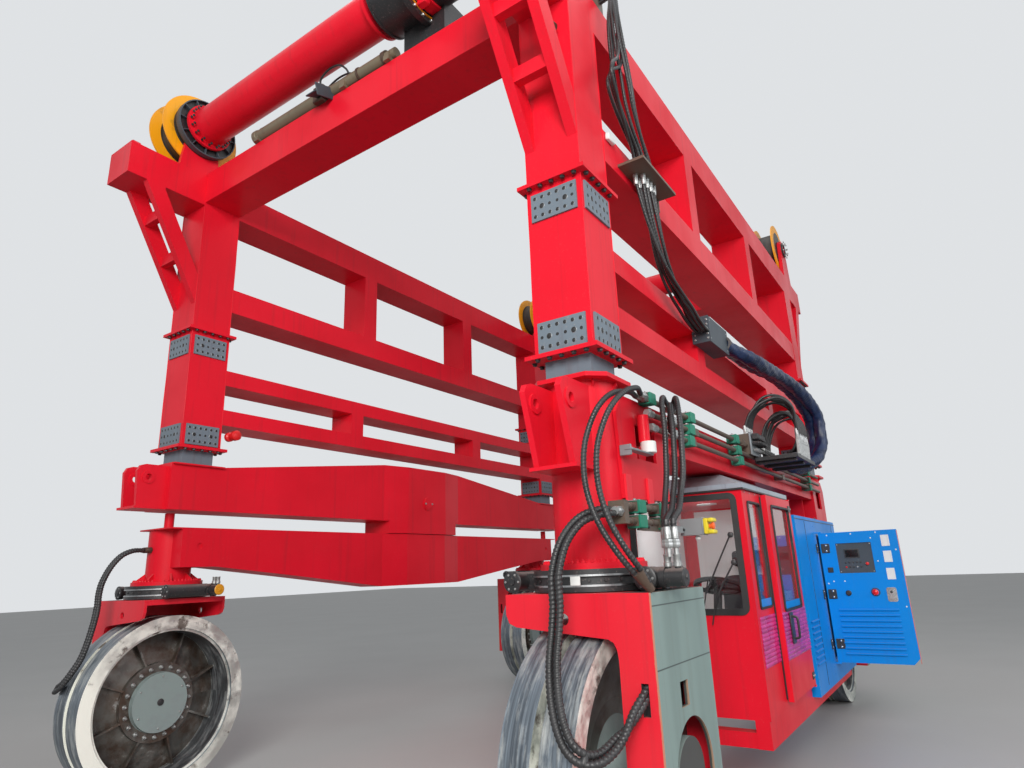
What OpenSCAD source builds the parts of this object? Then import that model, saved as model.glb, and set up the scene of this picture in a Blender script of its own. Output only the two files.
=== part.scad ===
// Straddle carrier: a rigid gantry on four steered wheels. +X is the cab end, +Y the cab side, +Z up.
// The origin is on the floor at the middle of the machine. All lengths are in millimetres.

/* [Layout] */
// Distance between the front and rear leg centres
wheel_base = 6100; // [5400:50:7000]
// Distance between the left and right leg centres
track = 4160; // [3800:20:4800]

/* [Wheels] */
// Outer diameter of the bare wheel
wheel_d = 1400; // [1200:20:1500]
// Width of the wheel over both bands
wheel_w = 380; // [300:10:420]
// Radial height of the two outer bands
band_h = 105; // [80:5:140]
// Width of the groove between the two bands
groove_w = 46; // [20:2:80]
// Wall of the rim under the bands
rim_t = 22; // [12:1:40]
// Depth of the dish from the rim to the hub
dish_depth = 80; // [40:5:110]
// Thickness of the wheel disc
disc_t = 26; // [15:1:40]
// Radius of the bolted hub flange
hub_r = 315; // [280:5:340]
// Diameter of the hub cover disc
hub_cover_d = 470; // [300:10:520]
// Number of ribs behind the disc
rib_count = 8; // [4:1:12]

/* [Forks] */
// Clearance from the wheel to the underside of the fork plate
wheel_gap = 100; // [60:5:200]
// Thickness of the fork's top plate
fork_plate_t = 42; // [25:1:60]
// Length of the fork along the machine
fork_len = 720; // [640:10:800]
// Reach of the fork outboard of the steering axis
fork_out = 470; // [430:5:560]
// Reach of the fork inboard of the steering axis
fork_in = 345; // [300:5:380]
// Width of the hollow leg of the fork
fork_leg_w = 185; // [150:5:220]
// Plate thickness of the fork leg
fork_wall = 22; // [12:1:35]
// Depth of the side arms below the fork plate at their inner end
arm_depth = 118; // [90:5:150]
// Extra depth of the side arms where they meet the leg
arm_drop = 47; // [0:1:70]
// Depth of the leg below the axle
leg_drop = 250; // [200:10:320]
// Half width of the arch in the leg's outer wall
arch_r = 240; // [180:5:280]

/* [Slewing rings] */
// Height of the slewing ring
slew_h = 110; // [90:5:140]
// Outer radius of the slewing ring housing
slew_r = 330; // [280:5:350]
// Radius of the race that stands on the fork
race_r = 230; // [180:5:260]
// Radius of the worm housings
worm_r = 52; // [35:1:55]
// Length of the worm housings
worm_l = 430; // [300:10:560]
// Length of the hydraulic motor
motor_l = 150; // [100:5:220]

/* [Turrets] */
// Radius of the turret column
column_r = 205; // [160:5:230]
// Radius of the bolted flange at the foot of the column
turret_flange_r = 290; // [270:5:330]
// Thickness of that flange
turret_flange_t = 30; // [20:1:45]
// Height from the turret flange to the seat of the legs
base_h = 1015; // [900:5:1200]
// Thickness of the seat plate under the leg pads
seat_t = 25; // [15:1:40]
// Overhang of the seat plate past the leg
seat_lip = 55; // [30:5:80]
// Length of the cut corners of the seat plate
seat_chamfer = 90; // [20:5:140]

/* [Towing lugs] */
// Reach of the lugs past the face that carries them
lug_reach = 260; // [200:10:320]
// Thickness of one lug plate
lug_t = 35; // [20:1:50]
// Distance between the middles of the two lug plates
lug_pitch = 220; // [160:10:280]
// Radius of the lug bore
lug_bore_r = 28; // [15:1:40]
// Depth of the lugs on the left turrets
lug_h = 475; // [400:5:560]

/* [Rocker side] */
// Depth of the rocker beam at its ends
rocker_end_h = 340; // [260:10:360]
// Extra depth of the rocker beam at its middle
rocker_belly = 255; // [150:5:300]
// Gap between the rocker beam and the sill beam
rocker_gap = 150; // [110:5:200]
// Width of the rocker beam
rocker_w = 340; // [300:10:380]
// Offset of the right wheels outboard of their legs
right_out = 150; // [0:10:200]
// Extra depth of the sill beam at its middle
sill_crown = 250; // [150:10:400]
// Extra width of both beams on each side at the middle
wide_half = 70; // [20:5:110]
// Radius of the rocker pin
pin_r = 80; // [60:5:100]
// Thickness of the yoke that stands up from the rocker beam
yoke_t = 150; // [100:5:220]

/* [Legs] */
// Outer size of the square leg boxes
leg_w = 380; // [340:10:420]
// Height of the spacer block under the lower flange
pad_h = 138; // [100:2:180]
// Height of the bolted leg insert, with its lower flange
insert_h = 1132; // [1000:10:1300]
// Height of the upper leg up to the top chord
upper_leg_h = 1320; // [1200:10:1500]
// Thickness of the leg flanges
flange_t = 26; // [15:1:40]
// Overhang of the leg flanges past the leg
flange_lip = 48; // [30:2:70]
// Thickness of the splice plates
splice_t = 12; // [8:1:20]
// Height of the splice plates
splice_h = 188; // [150:2:220]
// Reach of the raking struts at the top of the legs
strut_reach = 575; // [400:5:700]

/* [Side frames] */
// Depth of the top chord
top_chord_h = 320; // [260:10:380]
// Depth of the bottom chord
bottom_chord_h = 246; // [200:2:300]
// Clear height between the chords
chord_gap = 788; // [650:2:900]
// Length of the chord past the leg centres
chord_overhang = 940; // [850:10:1050]
// Length of the uprights between the chords
upright_l = 200; // [150:10:260]
// Depth of the two rails of the lower ladder
ladder_rail_h = 150; // [110:5:180]
// Clear height between the ladder rails
ladder_gap = 242; // [180:2:300]
// Width of the lower ladder
ladder_w = 340; // [280:10:370]

/* [Left sill and pipes] */
// Depth of the slim middle part of the left sill
sill_left_h = 260; // [180:5:320]
// Length of the plate box at each end of that sill
sill_box_l = 620; // [500:10:760]
// Depth of the plate box
sill_box_h = 590; // [480:10:640]
// Plate thickness of the box
sill_box_t = 20; // [10:1:30]
// Radius of the pipes along the sill
pipe_r = 17; // [10:1:25]
// Distance of the pipes from the sill's outer face
pipe_out = 45; // [35:1:70]
// Length of a pipe clamp
clamp_l = 90; // [50:5:120]

/* [Cross beams and hoists] */
// Depth of the cross beams
cross_h = 330; // [260:10:400]
// Radius of the hoist tube
hoist_tube_r = 180; // [140:5:220]
// Height of the hoist axis over the top chord
hoist_axis_h = 490; // [460:5:560]
// Distance of the hoist axis beyond the leg centre
hoist_reach = 270; // [220:10:330]
// Radius of the rope drum flanges
drum_r = 395; // [340:5:430]
// Radius of the rope drum core
drum_core_r = 270; // [220:10:320]
// Width of a rope drum
drum_w = 262; // [200:2:300]
// Radius of the hoist shaft
shaft_r = 70; // [50:5:90]
// Thickness of the bearing stands
stand_t = 46; // [30:1:60]
// Radius of the brake disc inboard of each stand
brake_r = 300; // [240:5:330]

/* [Cab and power unit] */
// Length of the cab
cab_l = 1410; // [1300:10:1500]
// Width of the cab
cab_w = 1000; // [900:10:1060]
// Height of the cab
cab_h = 1600; // [1500:10:1680]
// Height of the cab floor over the ground
cab_z = 600; // [500:10:640]
// Wall thickness of the cab
cab_wall = 40; // [30:1:60]
// Width of the cab door
cab_door_l = 830; // [700:10:860]
// Radius of the steering wheel
hand_wheel_r = 185; // [150:5:220]
// Clearance from the turning rear wheel to the power unit
power_gap = 115; // [60:5:260]
// Height of the power unit cabinet
power_h = 1540; // [1400:10:1600]
// Width of the power unit cabinet
power_w = 1100; // [900:10:1150]
// Wall thickness of the power unit cabinet
power_wall = 30; // [20:1:50]
// Width of the power unit's control door
door_w = 700; // [600:10:760]
// Number of louvres in that door
louvre_count = 9; // [5:1:12]

/* [Hidden] */

red = "#d3182b";
grey = "#7d8b96";
silver = "#b9bcbe";
black = "#1b1c1f";
yellow = "#e0a410";
blue = "#1b7fd6";
olive = "#6d6444";
green = "#1f7a52";

seat_gap = 0.3;      // pieces that move past each other at a pin or ring
skin_gap = 5;        // all other running clearances
cut = 1;             // how far a cutter runs past a face

// heights from the ground up
axle_z = wheel_d / 2;
fork_plate_z = wheel_d + wheel_gap;
slew_z = fork_plate_z + fork_plate_t;
turret_flange_z = slew_z + slew_h + skin_gap;
column_z = turret_flange_z + turret_flange_t;
base_z = column_z + base_h;
pad_top_z = base_z + pad_h;
insert_top_z = pad_top_z + insert_h;
leg_foot_z = insert_top_z;
top_chord_z = leg_foot_z + upper_leg_h;
bottom_chord_z = top_chord_z - chord_gap - bottom_chord_h;
top_z = top_chord_z + top_chord_h;
cross_z = top_chord_z + 30;
ladder_low_z = pad_top_z + 265;
ladder_high_z = ladder_low_z + ladder_rail_h + ladder_gap;

// places along and across the machine
axis_x = wheel_base / 2;
axis_y = track / 2;
leg_half = leg_w / 2;
leg_span = wheel_base - leg_w;
upright_x = leg_span / 6 + 27;
ladder_upright_x = leg_span / 5 + 6;
turn_r = norm([wheel_d / 2, wheel_w / 2]);

// rocker side
rocker_end_z = column_z + 115;
rocker_top_z = rocker_end_z + rocker_end_h;
sill_z = rocker_top_z + rocker_gap;
sill_half = axis_x + 250;
rocker_half = axis_x + 80;
pivot_block_half = 620;
pivot_z = sill_z + 226;
belly_half = 700;
flat_half = 350;
right_column_r = column_r - 20;

// left sill
sill_left_z = base_z - 82 - sill_left_h;
sill_out = column_r + seat_gap + sill_box_t;
sill_box_z = base_z - 92 - sill_box_h;
pipe_y = axis_y + sill_out + pipe_out;

// fork and wheel
fork_leg_y = fork_out - fork_leg_w;
fork_low_z = axle_z - leg_drop;

// cab and power unit
service_out = 2450;
service_z = 420;
cab_front = 1310;
cab_rear = cab_front - cab_l;
cab_in = service_out - cab_w;
cab_top = cab_z + cab_h;
power_front = cab_rear - 50;
power_rear = -axis_x + turn_r + power_gap;
power_l = power_front - power_rear;
power_out = service_out + 50;
power_z = 520;
control_x = power_front - 900;
engine_l = power_l - 760;

// doors lie over their openings and turn on pins near their hinge edge
door_t = 40;
door_lap = 20;
pivot_in = 14;
pivot_r = 8;
bracket_t = 12;
pivot_out = ceil(norm([pivot_in, door_t - pivot_in])) + skin_gap;
power_pivot = [control_x - pivot_in, power_out + pivot_out];
cab_door_x = cab_rear + 70;
cab_pivot = [cab_door_x + pivot_in, service_out + pivot_out];

// the outline's middle across the machine, with the control door open, is the origin's
mid_y = (power_pivot[1] - pivot_in + door_w - (axis_y + right_out + fork_out)) / 2;

module centred() {
    translate([0, -mid_y, 0]) children();
}

module at_leg(sx, sy) {
    translate([sx * axis_x, sy * axis_y, 0]) mirror([sx < 0 ? 1 : 0, 0, 0]) mirror([0, sy < 0 ? 1 : 0, 0]) children();
}

// the steering axis, which lies outboard of the leg on the right side
module at_wheel(sx, sy) {
    at_leg(sx, sy) translate([0, sy < 0 ? right_out : 0, 0]) children();
}

module box(x, y, z, at = [0, 0, 0]) {
    translate([at[0] - x / 2, at[1] - y / 2, at[2]]) cube([x, y, z]);
}

// plate standing in the plane of X and Z, its points given as [x, z], its middle at y
module side_plate(points, t, y = 0) {
    translate([0, y + t / 2, 0]) rotate([90, 0, 0]) linear_extrude(t) polygon(points);
}

module cross_cylinder(r, length, at = [0, 0, 0]) {
    translate([at[0], at[1] + length / 2, at[2]]) rotate([90, 0, 0]) cylinder(r = r, h = length, $fn = 48);
}

// cylinder along X whose middle is at the given place
module long_cylinder(r, length, at = [0, 0, 0]) {
    translate([at[0] - length / 2, at[1], at[2]]) rotate([0, 90, 0]) cylinder(r = r, h = length, $fn = 32);
}

// upper leg with the raking bracket that carries the end of the top chord
strut_t = 70;
strut_low = 270;
strut_depth = 165;
strut_foot = 290;

module legs() {
    color(red) for (sx = [-1, 1], sy = [-1, 1]) at_leg(sx, sy) {
        box(leg_w, leg_w, upper_leg_h - flange_t, [0, 0, leg_foot_z + flange_t]);
        box(leg_w + 2 * flange_lip, leg_w + 2 * flange_lip, flange_t, [0, 0, leg_foot_z]);
        for (side = [-1, 1])
            side_plate([
                [leg_half - cut, leg_foot_z + strut_low], [leg_half + strut_reach, top_chord_z],
                [leg_half + strut_reach - strut_depth, top_chord_z], [leg_half - cut, leg_foot_z + strut_low + strut_foot],
            ], strut_t, side * (leg_half - strut_t / 2));
        for (rise = [0.42, 0.76])
            box(60, leg_w - 2 * strut_t + 2, 105, [
                leg_half + strut_reach * rise - 62, 0,
                leg_foot_z + strut_low + (upper_leg_h - strut_low) * rise - 52,
            ]);
        // steps where the struts meet the chord
        for (y = [-1, 1]) box(12, strut_t, 90, [leg_half + strut_reach - strut_depth - 6, y * (leg_half - strut_t / 2), top_chord_z - 90]);
    }
}

module leg_inserts() {
    color(red) for (sx = [-1, 1], sy = [-1, 1]) at_leg(sx, sy) {
        box(leg_w, leg_w, insert_h - flange_t, [0, 0, pad_top_z + flange_t]);
        box(leg_w + 2 * flange_lip, leg_w + 2 * flange_lip, flange_t, [0, 0, pad_top_z]);
    }
}

// bolted plates over the splices at the foot and head of each insert
module splice_plates() {
    plate_w = leg_w - 60;
    color(grey) for (sx = [-1, 1], sy = [-1, 1]) at_leg(sx, sy)
        for (z = [pad_top_z + flange_t + 14, insert_top_z - splice_h - 46], side = [-1, 1]) {
            box(splice_t, plate_w, splice_h, [side * (leg_half + splice_t / 2), 0, z]);
            box(plate_w, splice_t, splice_h, [0, side * (leg_half + splice_t / 2), z]);
        }
}

module leg_pads() {
    pad_w = leg_w - 80;
    color(grey) for (sx = [-1, 1], sy = [-1, 1]) at_leg(sx, sy) box(pad_w, pad_w, pad_h, [0, 0, base_z]);
}

// side frame: two chords and two uprights, with a rounded stop at each end of the top chord
stop_t = 60;
stop_r = 65;
module truss(sy) {
    color(red) translate([0, sy * axis_y, 0]) {
        box(wheel_base + 2 * chord_overhang, leg_w, top_chord_h, [0, 0, top_chord_z]);
        box(leg_span, leg_w, bottom_chord_h, [0, 0, bottom_chord_z]);
        for (side = [-1, 1]) {
            box(upright_l, leg_w, chord_gap + 2 * cut, [side * upright_x, 0, bottom_chord_z + bottom_chord_h - cut]);
            translate([side * (axis_x + chord_overhang - 110), 0, top_z - cut]) {
                box(stop_t, 2 * stop_r, stop_r, [0, 0, 0]);
                long_cylinder(stop_r, stop_t, [0, 0, stop_r]);
            }
        }
    }
}

module cross_beam(sx) {
    color(red) box(leg_w, track - leg_w, cross_h, [sx * axis_x, 0, cross_z]);
}

// lower ladder between the leg inserts
ladder_upright_l = 180;
module ladder(sy) {
    y = sy * (axis_y - (leg_w - ladder_w) / 2);
    color(red) {
        for (z = [ladder_low_z, ladder_high_z]) box(leg_span, ladder_w, ladder_rail_h, [0, y, z]);
        for (side = [-1, 1])
            box(ladder_upright_l, ladder_w, ladder_gap + 2 * cut, [side * ladder_upright_x, y, ladder_low_z + ladder_rail_h - cut]);
    }
}

// pair of upright plates with a cross bore for a towing pin, joined by a foot plate
foot_t = 20;
module lugs(face_x, root, low_z, high_z, rake) {
    tip = face_x + lug_reach;
    bore_x = face_x + lug_reach * 0.62;
    bore_z = high_z - 110;
    color(red) {
        for (side = [-1, 1]) difference() {
            union() {
                side_plate([
                    [face_x - root, low_z], [tip - rake, low_z], [tip, high_z - 60], [tip - 25, high_z - 14],
                    [tip - 70, high_z], [face_x - root, high_z],
                ], lug_t, side * lug_pitch / 2);
                cross_cylinder(lug_bore_r + 28, lug_t + 16, [bore_x, side * lug_pitch / 2, bore_z]);
            }
            cross_cylinder(lug_bore_r, lug_t + 60, [bore_x, side * lug_pitch / 2, bore_z]);
        }
        translate([face_x - root, -lug_pitch / 2 - lug_t, low_z])
            cube([lug_reach - rake + root + 25, lug_pitch + 2 * lug_t, foot_t]);
    }
}

// box beam with a deeper and wider middle, its side view and plan view crossed
module swollen_beam(side_view, half_len, w, low, high) {
    wide = w / 2 + wide_half;
    intersection() {
        side_plate(side_view, 2 * wide + 2 * cut);
        translate([0, 0, low - cut]) linear_extrude(high - low + 2 * cut) polygon([
            [half_len, w / 2], [belly_half, w / 2], [flat_half, wide], [-flat_half, wide], [-belly_half, w / 2],
            [-half_len, w / 2], [-half_len, -w / 2], [-belly_half, -w / 2], [-flat_half, -wide], [flat_half, -wide],
            [belly_half, -w / 2], [half_len, -w / 2],
        ]);
    }
}

slot_half = pivot_block_half - 130;
module sill_right() {
    color(red) translate([0, -axis_y, 0]) {
        difference() {
            swollen_beam([
                [-sill_half, sill_z], [-pivot_block_half, sill_z], [-pivot_block_half, rocker_top_z + skin_gap],
                [pivot_block_half, rocker_top_z + skin_gap], [pivot_block_half, sill_z], [sill_half, sill_z],
                [sill_half, base_z], [sill_half - 510, base_z], [belly_half, base_z + sill_crown],
                [-belly_half, base_z + sill_crown], [-sill_half + 510, base_z], [-sill_half, base_z],
            ], sill_half, leg_w, rocker_top_z, base_z + sill_crown);
            box(2 * slot_half, yoke_t + 2 * skin_gap, pivot_z - rocker_top_z + 170, [0, 0, rocker_top_z - cut]);
            cross_cylinder(pin_r + seat_gap, leg_w + 4 * wide_half, [0, 0, pivot_z]);
        }
        for (side = [-1, 1]) mirror([side < 0 ? 1 : 0, 0, 0]) {
            lugs(sill_half, cut, sill_z, base_z - 30, 20);
            // seat plate of the leg pad
            box(leg_w + 2 * seat_lip, leg_w + 2 * wide_half * 0.4, 14, [axis_x, 0, base_z - 14]);
        }
    }
}

module rocker_beam() {
    low = rocker_end_z;
    belly = low - rocker_belly;
    color(red) translate([0, -axis_y, 0]) difference() {
        union() {
            swollen_beam([
                [-rocker_half, low], [-axis_x + 260, low], [-axis_x + 1170, low - rocker_belly * 0.42], [-belly_half, belly],
                [belly_half, belly], [axis_x - 1170, low - rocker_belly * 0.42], [axis_x - 260, low], [rocker_half, low],
                [rocker_half, rocker_top_z], [-rocker_half, rocker_top_z],
            ], rocker_half, rocker_w, belly, rocker_top_z);
            for (side = [-1, 1]) translate([side * axis_x, 0, 0]) {
                // head of the turret column, with the web that ties it to the beam
                translate([0, -right_out, low]) cylinder(r = right_column_r, h = rocker_end_h, $fn = 64);
                translate([-side * 150, -right_out / 2, low]) box(220, rocker_w + right_out, rocker_end_h * 0.9);
                translate([side * 20, -right_out / 2, rocker_top_z - 12]) box(2 * right_column_r, rocker_w + right_out, 12);
                translate([side * 120, 0, rocker_top_z - cut]) cylinder(r = 40, h = rocker_gap - 20, $fn = 24);
            }
            box(2 * slot_half - 20, yoke_t, pivot_z - rocker_top_z + 150, [0, 0, rocker_top_z - cut]);
        }
        cross_cylinder(pin_r + seat_gap, leg_w + 4 * wide_half, [0, 0, pivot_z]);
        for (side = [-1, 1]) cross_cylinder(26, 60, [side * (axis_x - 90), rocker_w / 2 + 20, rocker_end_z + 180]);
    }
}

module rocker_pin() {
    color(silver) translate([0, -axis_y, 0]) cross_cylinder(pin_r, leg_w + 2 * wide_half + 30, [0, 0, pivot_z]);
}

// left sill: a slim beam between two plate boxes that grip the turret columns
module sill_left() {
    box_x = axis_x - column_r - seat_gap;
    box_far = box_x - sill_box_l + column_r;
    top = sill_box_z + sill_box_h;
    color(red) translate([0, axis_y, 0]) {
        translate([-box_far, -column_r, sill_left_z]) cube([2 * box_far, column_r + sill_out - sill_box_t, sill_left_h]);
        for (side = [-1, 1]) mirror([side < 0 ? 1 : 0, 0, 0]) {
            difference() {
                for (y = [-1, 1])
                    side_plate([
                        [box_far - 30, sill_box_z + 20], [axis_x + 10, sill_box_z], [axis_x + 40, top - 110],
                        [axis_x - 50, top], [box_far - 30, top],
                    ], sill_box_t, y * (sill_out - sill_box_t / 2));
                translate([box_x - 285, sill_out - sill_box_t - cut, sill_box_z + 240]) cube([290, sill_box_t + 2 * cut, 205]);
            }
            // floor, roof and inner end of the box, and the accumulator behind its window
            for (z = [sill_box_z + 30, sill_box_z + 222, top - 30])
                translate([box_far - 30, -sill_out + sill_box_t, z]) cube([box_x - box_far + 30, 2 * (sill_out - sill_box_t), 16]);
            translate([box_far - 30, -sill_out + sill_box_t, sill_box_z + 30])
                cube([16, 2 * (sill_out - sill_box_t), sill_left_z - sill_box_z - 29]);
            cross_cylinder(55, 190, [box_x - 190, column_r - 125, sill_box_z + 222 + 16 + 54]);
        }
    }
}

// foot of a column: bolted flange, with gussets round a right one
module column_foot(r, gussets) {
    translate([0, 0, turret_flange_z]) cylinder(r = turret_flange_r, h = turret_flange_t, $fn = 64);
    if (gussets) for (i = [0 : 7]) rotate(i * 45 + 22.5)
        side_plate([
            [r - 20, column_z - cut], [turret_flange_r - 45, column_z - cut], [turret_flange_r - 45, column_z + 20],
            [r - 20, column_z + 85],
        ], 14);
}

module turrets_left() {
    seat_half = leg_half + seat_lip;
    corner = seat_half - seat_chamfer;
    color(red) for (sx = [-1, 1]) at_wheel(sx, 1) {
        column_foot(column_r, false);
        translate([0, 0, column_z]) cylinder(r = column_r, h = base_h, $fn = 64);
        translate([0, 0, base_z - seat_t]) linear_extrude(seat_t) polygon([
            [seat_half, -corner], [seat_half, corner], [corner, seat_half], [-corner, seat_half],
            [-seat_half, corner], [-seat_half, -corner], [-corner, -seat_half], [corner, -seat_half],
        ]);
        for (i = [0 : 7]) if (i != 0) rotate(i * 45)
            side_plate([
                [column_r - 20, base_z - seat_t + cut], [seat_half - 20, base_z - seat_t + cut],
                [seat_half - 20, base_z - seat_t - 18], [column_r - 20, base_z - seat_t - 62],
            ], 14);
        lugs(leg_half + 30, 90, base_z - seat_t - 35 - lug_h, base_z - seat_t - 35, 120);
    }
}

module turrets_right() {
    color(red) for (sx = [-1, 1]) at_wheel(sx, -1) {
        column_foot(right_column_r, true);
        translate([0, 0, column_z]) cylinder(r = right_column_r, h = rocker_end_z - column_z, $fn = 64);
    }
}

// slewing ring: fixed housing round the race that stands on the fork, with a worm on each side
module slew_ring(sx, sy) {
    worm_y = slew_r + worm_r + 8;
    worm_z = slew_z + skin_gap + worm_r + 4;
    motor_x = worm_l / 2 - 60;
    // the motor sits outboard on the left side and inboard on the right
    color(black) at_wheel(sx, sy) rotate(sy < 0 ? 180 : 0) difference() {
        union() {
            translate([0, 0, slew_z + skin_gap]) rotate_extrude($fn = 64) polygon([
                [race_r - 20, 0], [slew_r, 0], [slew_r, 26], [slew_r - 16, 34], [slew_r - 16, slew_h - 34],
                [slew_r, slew_h - 26], [slew_r, slew_h], [race_r - 20, slew_h],
            ]);
            for (side = [-1, 1]) {
                long_cylinder(worm_r, worm_l, [0, side * worm_y, worm_z]);
                for (end = [-1, 1]) long_cylinder(worm_r + 4, 24, [end * (worm_l / 2 - 12), side * worm_y, worm_z]);
                box(260, 2 * worm_r + 16, 2 * worm_r - 24, [0, side * (slew_r + 4), worm_z - worm_r + 12]);
            }
            cross_cylinder(worm_r - 8, motor_l, [motor_x, worm_y + worm_r + motor_l / 2 - 22, worm_z]);
            cross_cylinder(worm_r, 26, [motor_x, worm_y + worm_r + 22, worm_z]);
            for (y = [45, 95]) translate([motor_x, worm_y + worm_r + y, worm_z]) cylinder(r = 15, h = worm_r + 55, $fn = 24);
        }
        translate([0, 0, slew_z]) cylinder(r = race_r + seat_gap, h = slew_h - 20, $fn = 64);
    }
}

// single-sided fork: plate, two side arms and a hollow leg outboard of the wheel
end_r = 62;
module fork_outline() {
    // side plate across the machine, points as [y, z]
    arm_z = fork_plate_z - arm_depth;
    difference() {
        union() {
            polygon([
                [-fork_in, fork_plate_z + cut], [-fork_in, arm_z + end_r], [-fork_in + end_r * 0.3, arm_z + end_r * 0.3],
                [-fork_in + end_r, arm_z], [fork_leg_y - 50, arm_z - arm_drop],
                [fork_leg_y - 22, arm_z - arm_drop - 14], [fork_leg_y - 6, arm_z - arm_drop - 46],
                [fork_leg_y, arm_z - arm_drop - 90], [fork_leg_y, fork_low_z], [fork_out, fork_low_z],
                [fork_out, fork_plate_z + cut],
            ]);
        }
        // slot for the hoses and a lifting hole
        translate([fork_leg_y + 100, axle_z + 312]) square([36, 140]);
        translate([0, fork_plate_z - 78]) circle(r = 28, $fn = 32);
    }
}

module fork(sx, sy) {
    leg_top = fork_plate_z - fork_low_z + cut;
    color(red) at_wheel(sx, sy) difference() {
        union() {
            translate([-fork_len / 2, -fork_in, fork_plate_z]) cube([fork_len, fork_in + fork_out, fork_plate_t]);
            translate([0, 0, slew_z - cut]) cylinder(r = race_r, h = slew_h - 20 - skin_gap, $fn = 64);
            for (side = [-1, 1])
                translate([side * (fork_len / 2 - fork_wall / 2) - fork_wall / 2, 0, 0])
                    rotate([90, 0, 90]) linear_extrude(fork_wall) fork_outline();
            // inner and outer walls of the leg, its floor and the gearbox that carries the wheel
            for (y = [fork_leg_y, fork_out - fork_wall])
                translate([-fork_len / 2, y, fork_low_z]) cube([fork_len, fork_wall, leg_top]);
            translate([-fork_len / 2, fork_leg_y, fork_low_z]) cube([fork_len, fork_leg_w, fork_wall]);
            cross_cylinder(170, fork_leg_w - 20, [0, fork_leg_y + fork_leg_w / 2, axle_z]);
        }
        // arched opening and slot in the outer wall
        translate([0, fork_out + cut, 0]) rotate([90, 0, 0]) linear_extrude(fork_wall + 2 * cut) {
            translate([0, axle_z + 20]) circle(r = arch_r, $fn = 48);
            translate([-arch_r, fork_low_z + 60]) square([2 * arch_r, leg_drop - 40]);
            translate([8, axle_z + 314]) square([100, 112]);
        }
    }
}

// bare wheel: two machined bands on a dished and ribbed disc, turned on the axle
band_w = (wheel_w - groove_w) / 2;
module wheel(sx, sy) {
    r = wheel_d / 2;
    rim_r = r - band_h;
    well_r = rim_r - rim_t;
    hub_y = 10;
    dish_y = hub_y + dish_depth;
    color(silver) at_wheel(sx, sy) translate([0, 0, axle_z]) rotate([-90, 0, 0]) {
        rotate_extrude($fn = 96) {
            for (side = [-1, 1])
                translate([rim_r, side > 0 ? groove_w / 2 : -wheel_w / 2]) square([band_h, band_w]);
            translate([well_r, -wheel_w / 2 + 20]) square([rim_t + cut, wheel_w - 40]);
            polygon([
                [hub_r - cut, hub_y], [well_r + cut, dish_y], [well_r + cut, dish_y + disc_t], [hub_r - cut, hub_y + disc_t + 20],
            ]);
            translate([0, hub_y - 45]) square([hub_r, 91]);
            translate([0, hub_y - 95]) square([hub_cover_d / 2, 51]);
            translate([0, hub_y + 40]) square([150, fork_leg_y - hub_y - 40 - seat_gap]);
        }
        for (i = [0 : rib_count - 1]) rotate([0, 0, (i + 0.5) * 360 / rib_count]) rotate([90, 0, 0])
            translate([0, 0, -8]) linear_extrude(16) polygon([
                [hub_r - 10, hub_y - 40], [well_r + cut, dish_y - 70], [well_r + cut, dish_y + cut], [hub_r - 10, hub_y + cut],
            ]);
    }
}

// hoist shafts above the cross beams
drum_y = axis_y + 5;
drum_gap = 8;
tube_end = axis_y - leg_half - 60;
drive_in = 700;
drive_out = 1300;
axis_z = top_z + hoist_axis_h;
hoist_x = axis_x + hoist_reach;
stand_y = drum_w / 2 + drum_gap + stand_t / 2;
cap_t = 22;

module hoist(sx) {
    tube_gap = 60;
    color(red) translate([sx * hoist_x, 0, axis_z]) {
        cross_cylinder(shaft_r, 2 * (drum_y + stand_y + stand_t / 2) + 20);
        cross_cylinder(hoist_tube_r, tube_end + drive_in - tube_gap, [0, (-tube_end + drive_in - tube_gap) / 2, 0]);
        cross_cylinder(hoist_tube_r, tube_end - drive_out - tube_gap, [0, (tube_end + drive_out + tube_gap) / 2, 0]);
        for (y = [-tube_end + 20, drive_in - 75, drive_out + 75, tube_end - 20])
            cross_cylinder(hoist_tube_r + 48, 30, [0, y, 0]);
    }
}

module drums(sx) {
    rim_t = 18;
    color(yellow) translate([sx * hoist_x, 0, axis_z]) for (side = [-1, 1]) difference() {
        union() {
            cross_cylinder(drum_core_r, drum_w, [0, side * drum_y, 0]);
            for (edge = [-1, 1]) cross_cylinder(drum_r, rim_t, [0, side * drum_y + edge * (drum_w - rim_t) / 2, 0]);
        }
        cross_cylinder(shaft_r, drum_w + 2 * cut, [0, side * drum_y, 0]);
    }
}

// bearing stands on the ends of the top chords
module hoist_stands() {
    color(red) for (sx = [-1, 1], sy = [-1, 1], edge = [-1, 1])
        translate([sx * hoist_x, sy * drum_y + edge * stand_y, top_z]) difference() {
            union() {
                side_plate([[-210, 0], [210, 0], [140, hoist_axis_h], [-140, hoist_axis_h]], stand_t);
                cross_cylinder(142, stand_t, [0, 0, hoist_axis_h]);
            }
            cross_cylinder(shaft_r + seat_gap, stand_t + 2 * cut, [0, 0, hoist_axis_h]);
        }
}

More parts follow.
